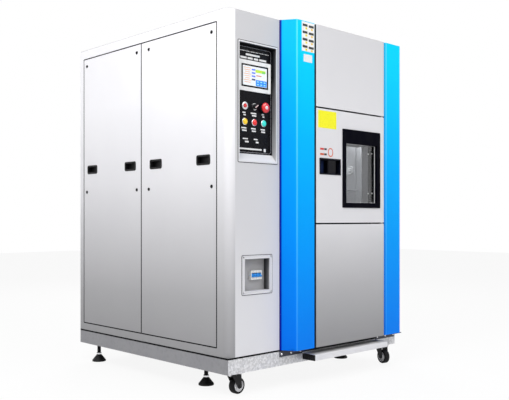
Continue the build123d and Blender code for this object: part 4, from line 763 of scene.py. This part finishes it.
# Plates and marks on the fronts. A white plate on the left column carries four dark rows
# with yellow fields between them, and a small one lies below it. The door has a plain
# yellow plate, and two red and black bars beside a ring. None of them carries words.
proud_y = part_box("left_column")[0].y
column_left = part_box("left_column")[0].x
sheet_rows = [(bar(column_left + 0.130, 1.772, 0.094, 0.149, proud_y, 0.0004), (0.86, 0.86, 0.86)),
              (bar(column_left + 0.1285, 1.6635, 0.063, 0.038, proud_y, 0.0004), (0.82, 0.82, 0.84))]
row_inks = ((0.107, 0.0, 0.036, 0.0120, (0.008, 0.012, 0.012)),
            (0.153, 0.002, 0.038, 0.0120, (0.008, 0.012, 0.012)),
            (0.116, 0.015, 0.013, 0.0110, (0.80, 0.68, 0.02)),
            (0.158, 0.016, 0.013, 0.0100, (0.80, 0.52, 0.04)))
for n in range(4):
    z = 1.829 - 0.036 * n
    sheet_rows += [(bar(column_left + dx, z - drop, wide, tall, proud_y, 0.0006), ink)
                   for dx, drop, wide, tall, ink in row_inks]
shells("column_plate", [shape for shape, _ in sheet_rows], ink_finish, "cabinet",
       tones=[colour for _, colour in sheet_rows])
door_low, door_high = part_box("door_shell")
door_marks = [(bar(door_low.x + 0.086, door_high.z - 0.055, 0.144, 0.090, door_low.y, 0.0004),
               (0.92, 0.88, 0.0))]
for n in range(2):
    z = door_low.z + 0.383 - 0.027 * n
    door_marks += [(bar(door_low.x + 0.044, z, 0.030, 0.0100, door_low.y), (0.62, 0.03 + 0.06 * n, 0.02)),
                   (bar(door_low.x + 0.071, z, 0.020, 0.0100, door_low.y), (0.03, 0.02, 0.02))]
shells("door_marks", [shape for shape, _ in door_marks], ink_finish, "door",
       tones=[colour for _, colour in door_marks])
shells("door_ring_mark", [framed((door_low.x + 0.096, door_low.z + 0.350),
                                 (door_low.x + 0.126, door_low.z + 0.386), 0.0149, 1, door_low.y,
                                 [(0, 0.0003), (0, -0.0003), (0.0052, -0.0003), (0.0052, 0.0003)])],
       ink_finish, "door", looped=True, tones=[(0.68, 0.10, 0.03)])


# Kick step. A folded channel screwed to the base in front of the door, painted white, with a
# pale ribbed mat on its tread and black ribbed caps on its ends.
dress(powder_coat("step_coat", greys((0.10, 0.74), (0.18, 0.78))), "kick_step")
step_low, step_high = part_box("kick_step")
ribs = np.linspace(step_low.y + 0.006, step_high.y - 0.006, 121)
rib_height = 0.0006 + 0.0007 * np.abs(np.sin((ribs - ribs[0]) * math.pi / 0.0052))
profile_y = np.concatenate([ribs, ribs[::-1]])
profile_z = step_high.z + np.concatenate([rib_height, np.full(len(ribs), -0.0003)])
mat_ends = np.array([step_low.x + 0.010, step_high.x - 0.010])
mat = np.stack([np.broadcast_to(mat_ends[:, None], (2, len(profile_y))),
                np.broadcast_to(profile_y, (2, len(profile_y))),
                np.broadcast_to(profile_z, (2, len(profile_y)))], axis=-1)
shells("step_mat", [mat], moulded("mat_rubber", (0.66, 0.66, 0.67), 0.7, 400, 0.2), "cabinet",
       crease=60)


# Test zone. A welded liner of brushed stainless steel with a rack of pegs on each side and a
# shelf of round wire. Dampers close its ports to the hot zone above and the cold zone below,
# where a fan blows over them. A capped port sits in its right wall, and a lamp shines in it.
liner_steel = brushed("liner_steel", (0.66, 0.66, 0.68), 2, 0.34, 0.85)
dress(liner_steel, "test_liner", "rack_rails", "hot_damper", "cold_damper")
dress(brushed("fan_aluminium", (0.70, 0.71, 0.73), 2, 0.35), "hot_fan", "cold_fan")
dress(moulded("motor_paint", (0.05, 0.055, 0.06), 0.45), "fan_motors", "refrigeration_unit")
dress(moulded("casing_skin", (0.62, 0.61, 0.56), 0.55, 200), "zone_casing")
liner_low, liner_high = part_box("test_liner")
shelf_low, shelf_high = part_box("sample_shelf")
shelf_z, rod, wire = (shelf_low.z + shelf_high.z) / 2, 0.003, 0.0016


def wire_bar(start, stop, radius, steps=12):
    """A round bar from start to stop with softened ends."""
    start, stop = np.asarray(start, float), np.asarray(stop, float)
    length = np.linalg.norm(stop - start)
    profile = [(0, radius * 0.7), (radius * 0.3, radius), (length - radius * 0.3, radius),
               (length, radius * 0.7)]
    return turned(profile, start, stop - start, steps)


shelf_bars = [wire_bar((x, shelf_low.y, shelf_z), (x, shelf_high.y, shelf_z), rod)
              for x in (shelf_low.x + rod, shelf_high.x - rod)]
shelf_bars += [wire_bar((shelf_low.x, y, shelf_z), (shelf_high.x, y, shelf_z), rod)
               for y in (shelf_low.y + rod, shelf_high.y - rod)]
shelf_bars += [wire_bar((x, shelf_low.y, shelf_z + wire), (x, shelf_high.y, shelf_z + wire), wire, 8)
               for x in np.linspace(shelf_low.x + rod, shelf_high.x - rod, 16)[1:-1]]
shelf = shells("wire_shelf", shelf_bars, bright_steel, "cabinet")
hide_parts("sample_shelf")
liner_wall = 0.014
wall_x = liner_high.x - liner_wall
cap_profile = [(0.0, 0.026), (0.0015, 0.026), (0.0040, 0.0245), (0.0045, 0.021), (0.0030, 0.0185),
               (0.0030, 0.013), (0.0070, 0.0115), (0.0085, 0.008), (0.0088, 0.0004)]
shells("port_cap", [turned(cap_profile, (wall_x, base_low.y + 0.124, 1.130), (-1, 0, 0), 40)],
       moulded("cap_silicone", (0.55, 0.55, 0.56), 0.5), "cabinet")
inside = bpy.data.lights.new("zone_lamp", "AREA")
inside.shape = "RECTANGLE"
inside.size, inside.size_y, inside.energy = 0.30, 0.10, 1.3
inside_stand = bpy.data.objects.new("zone_lamp", inside)
inside_stand.location = ((liner_low.x + liner_high.x) / 2, base_low.y + 0.150, 1.340)
bpy.context.scene.collection.objects.link(inside_stand)


# Door. A folded pan with a foamed plug behind it. A silicone gasket with two rounded lips is
# glued round the mouth of the test zone, and the door turns on pins that brackets hold in
# the joints above and below it.
dress(moulded("plug_skin", (0.60, 0.60, 0.61), 0.42, 200), "door_plug")
dress(brushed("bracket_steel", (0.70, 0.70, 0.72), 0, 0.3), "hinge_brackets")
mouth_low = (liner_low.x + liner_wall, liner_low.z + liner_wall)
mouth_high = (liner_high.x - liner_wall, liner_high.z - liner_wall)
seal_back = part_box("door_gasket")[1].y
lips = np.array([(0, 0), (0, 2.6), (1.4, 3.0), (2.6, 7.6), (5.4, 10.6), (8.4, 9.4), (10.0, 5.0),
                 (13.0, 4.4), (15.2, 8.4), (18.2, 10.9), (21.2, 9.0), (22.6, 4.4), (28.6, 3.4), (30, 2.2),
                 (30, 0)]) / 1000
gasket = shells("door_seal", [framed(mouth_low, mouth_high, 0.006, 1, seal_back,
                                     (lips + (0.004, 0)) * (1, -1))],
                moulded("silicone", (0.16, 0.16, 0.17), 0.55), "cabinet", looped=True,
                crease=60)
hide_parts("door_gasket")


# Window. A black coated frame with a deep upper band holds two panes of toughened glass. A
# bright bead edges the glass, and a black spacer and a stainless lining, with four white
# studs in the right wall, close the tunnel between the panes.
dress(moulded("frame_black", (0.0, 0.0, 0.003), 0.40, 500, 0.04, Specular_IOR_Level=0.02), "window_frame")


def clear_glass(name, tone):
    """Glass: light goes through with hardly any bend, and thin clouds of dust roughen its gloss."""
    pane = Finish(name, tone, 0.03, Transmission_Weight=1.0, IOR=1.45, Specular_IOR_Level=0.2)
    pane.link(pane.spread(pane.cloud(6, 5), 0.01, 0.06), "Roughness")
    pane.link(pane.tones(pane.cloud(3), (0.3, tuple(c * 0.97 for c in tone)), (0.7, tone)), "Base Color")
    return pane.material


dress(clear_glass("window_glass", (0.93, 0.95, 0.96)), "window_panes")
frame_low, frame_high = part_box("window_frame")
side_rail, sill, upper_band, tunnel_gap = 0.029, 0.027, 0.075, 0.006
glass_low = (frame_low.x + side_rail, frame_low.z + sill)
glass_high = (frame_high.x - side_rail, frame_high.z - upper_band)
pane_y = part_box("window_panes")[0].y
bead = [(0.0006, 0.0), (0.0006, -0.0016), (0.0, -0.0026), (-0.0014, -0.0028), (-0.0026, -0.0016),
        (-0.0026, 0.0)]
shells("glass_bead", [framed(glass_low, glass_high, 0.003, 1, pane_y - 0.0001, bead, 5)],
       brushed("bead_steel", (0.86, 0.86, 0.88), 0, 0.3), "door", looped=True)
tunnel_low = (glass_low[0] - tunnel_gap, glass_low[1] - tunnel_gap)
tunnel_high = (glass_high[0] + tunnel_gap, glass_high[1] + tunnel_gap)


def tunnel_wall(start, stop):
    """A thin wall round the tunnel, from one depth behind the front pane to another."""
    profile = [(-0.0002, start), (-0.0002, stop), (-0.0012, stop), (-0.0012, start)]
    return framed(tunnel_low, tunnel_high, 0.003, 1, pane_y, profile, 5)


shells("glass_spacer", [tunnel_wall(0.0115, 0.052)],
       moulded("spacer_black", (0.003, 0.003, 0.004), 0.5, Specular_IOR_Level=0.1), "door",
       looped=True)
shells("tunnel_lining", [tunnel_wall(0.0522, 0.0955)],
       brushed("lining_steel", (0.30, 0.30, 0.31), 2, 0.34, 0.7), "door", looped=True)
stud_head = [(-0.001, 0.0042), (0.0015, 0.0042), (0.0030, 0.0030), (0.0036, 0.0004)]
shells("tunnel_studs", [turned(stud_head, (tunnel_high[0] - 0.001, pane_y + depth, z), (-1, 0, 0), 20)
                        for z in (tunnel_high[1] - 0.045, tunnel_low[1] + 0.062) for depth in (0.024, 0.050)],
       moulded("stud_white", (0.90, 0.90, 0.90), 0.3), "door")


# Handle. A moulded pocket in dark blue with two paler fields at its back, and a black paddle
# with finger ribs that turns on two small pins and springs back.
dress(moulded("pocket_navy", (0.002, 0.003, 0.010), 0.34, Specular_IOR_Level=0.12), "handle_cup")
dress(moulded("paddle_black", (0.002, 0.002, 0.005), 0.30, Specular_IOR_Level=0.12), "handle_lever")
cup_low, cup_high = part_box("handle_cup")
paddle_low, paddle_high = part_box("handle_lever")
cup_back = cup_low.y + 0.0320
field_levels = [(cup_back + 0.0004, 0), (cup_back - 0.0006, 0), (cup_back - 0.0012, 0.0008)]
field_spans = ((cup_low.x + 0.010, paddle_low.x - 0.004), (paddle_high.x + 0.004, cup_high.x - 0.010))
fields = [plate((start, cup_low.z + 0.010), (stop, cup_high.z - 0.010), 0.004, 1, field_levels)
          for start, stop in field_spans]
shells("pocket_fields", fields, moulded("field_blue", (0.012, 0.022, 0.075), 0.34, Specular_IOR_Level=0.12),
       "door")
rib_x = np.linspace(paddle_high.x - 0.026, paddle_high.x - 0.008, 4)
shells("paddle_ribs", [plate((x - 0.0012, cup_low.z + 0.020), (x + 0.0012, cup_high.z - 0.020), 0.0011, 1,
                             [(paddle_low.y + 0.0004, 0), (paddle_low.y - 0.0005, 0.0001),
                              (paddle_low.y - 0.0009, 0.0005)]) for x in rib_x], black_plastic, "handle")
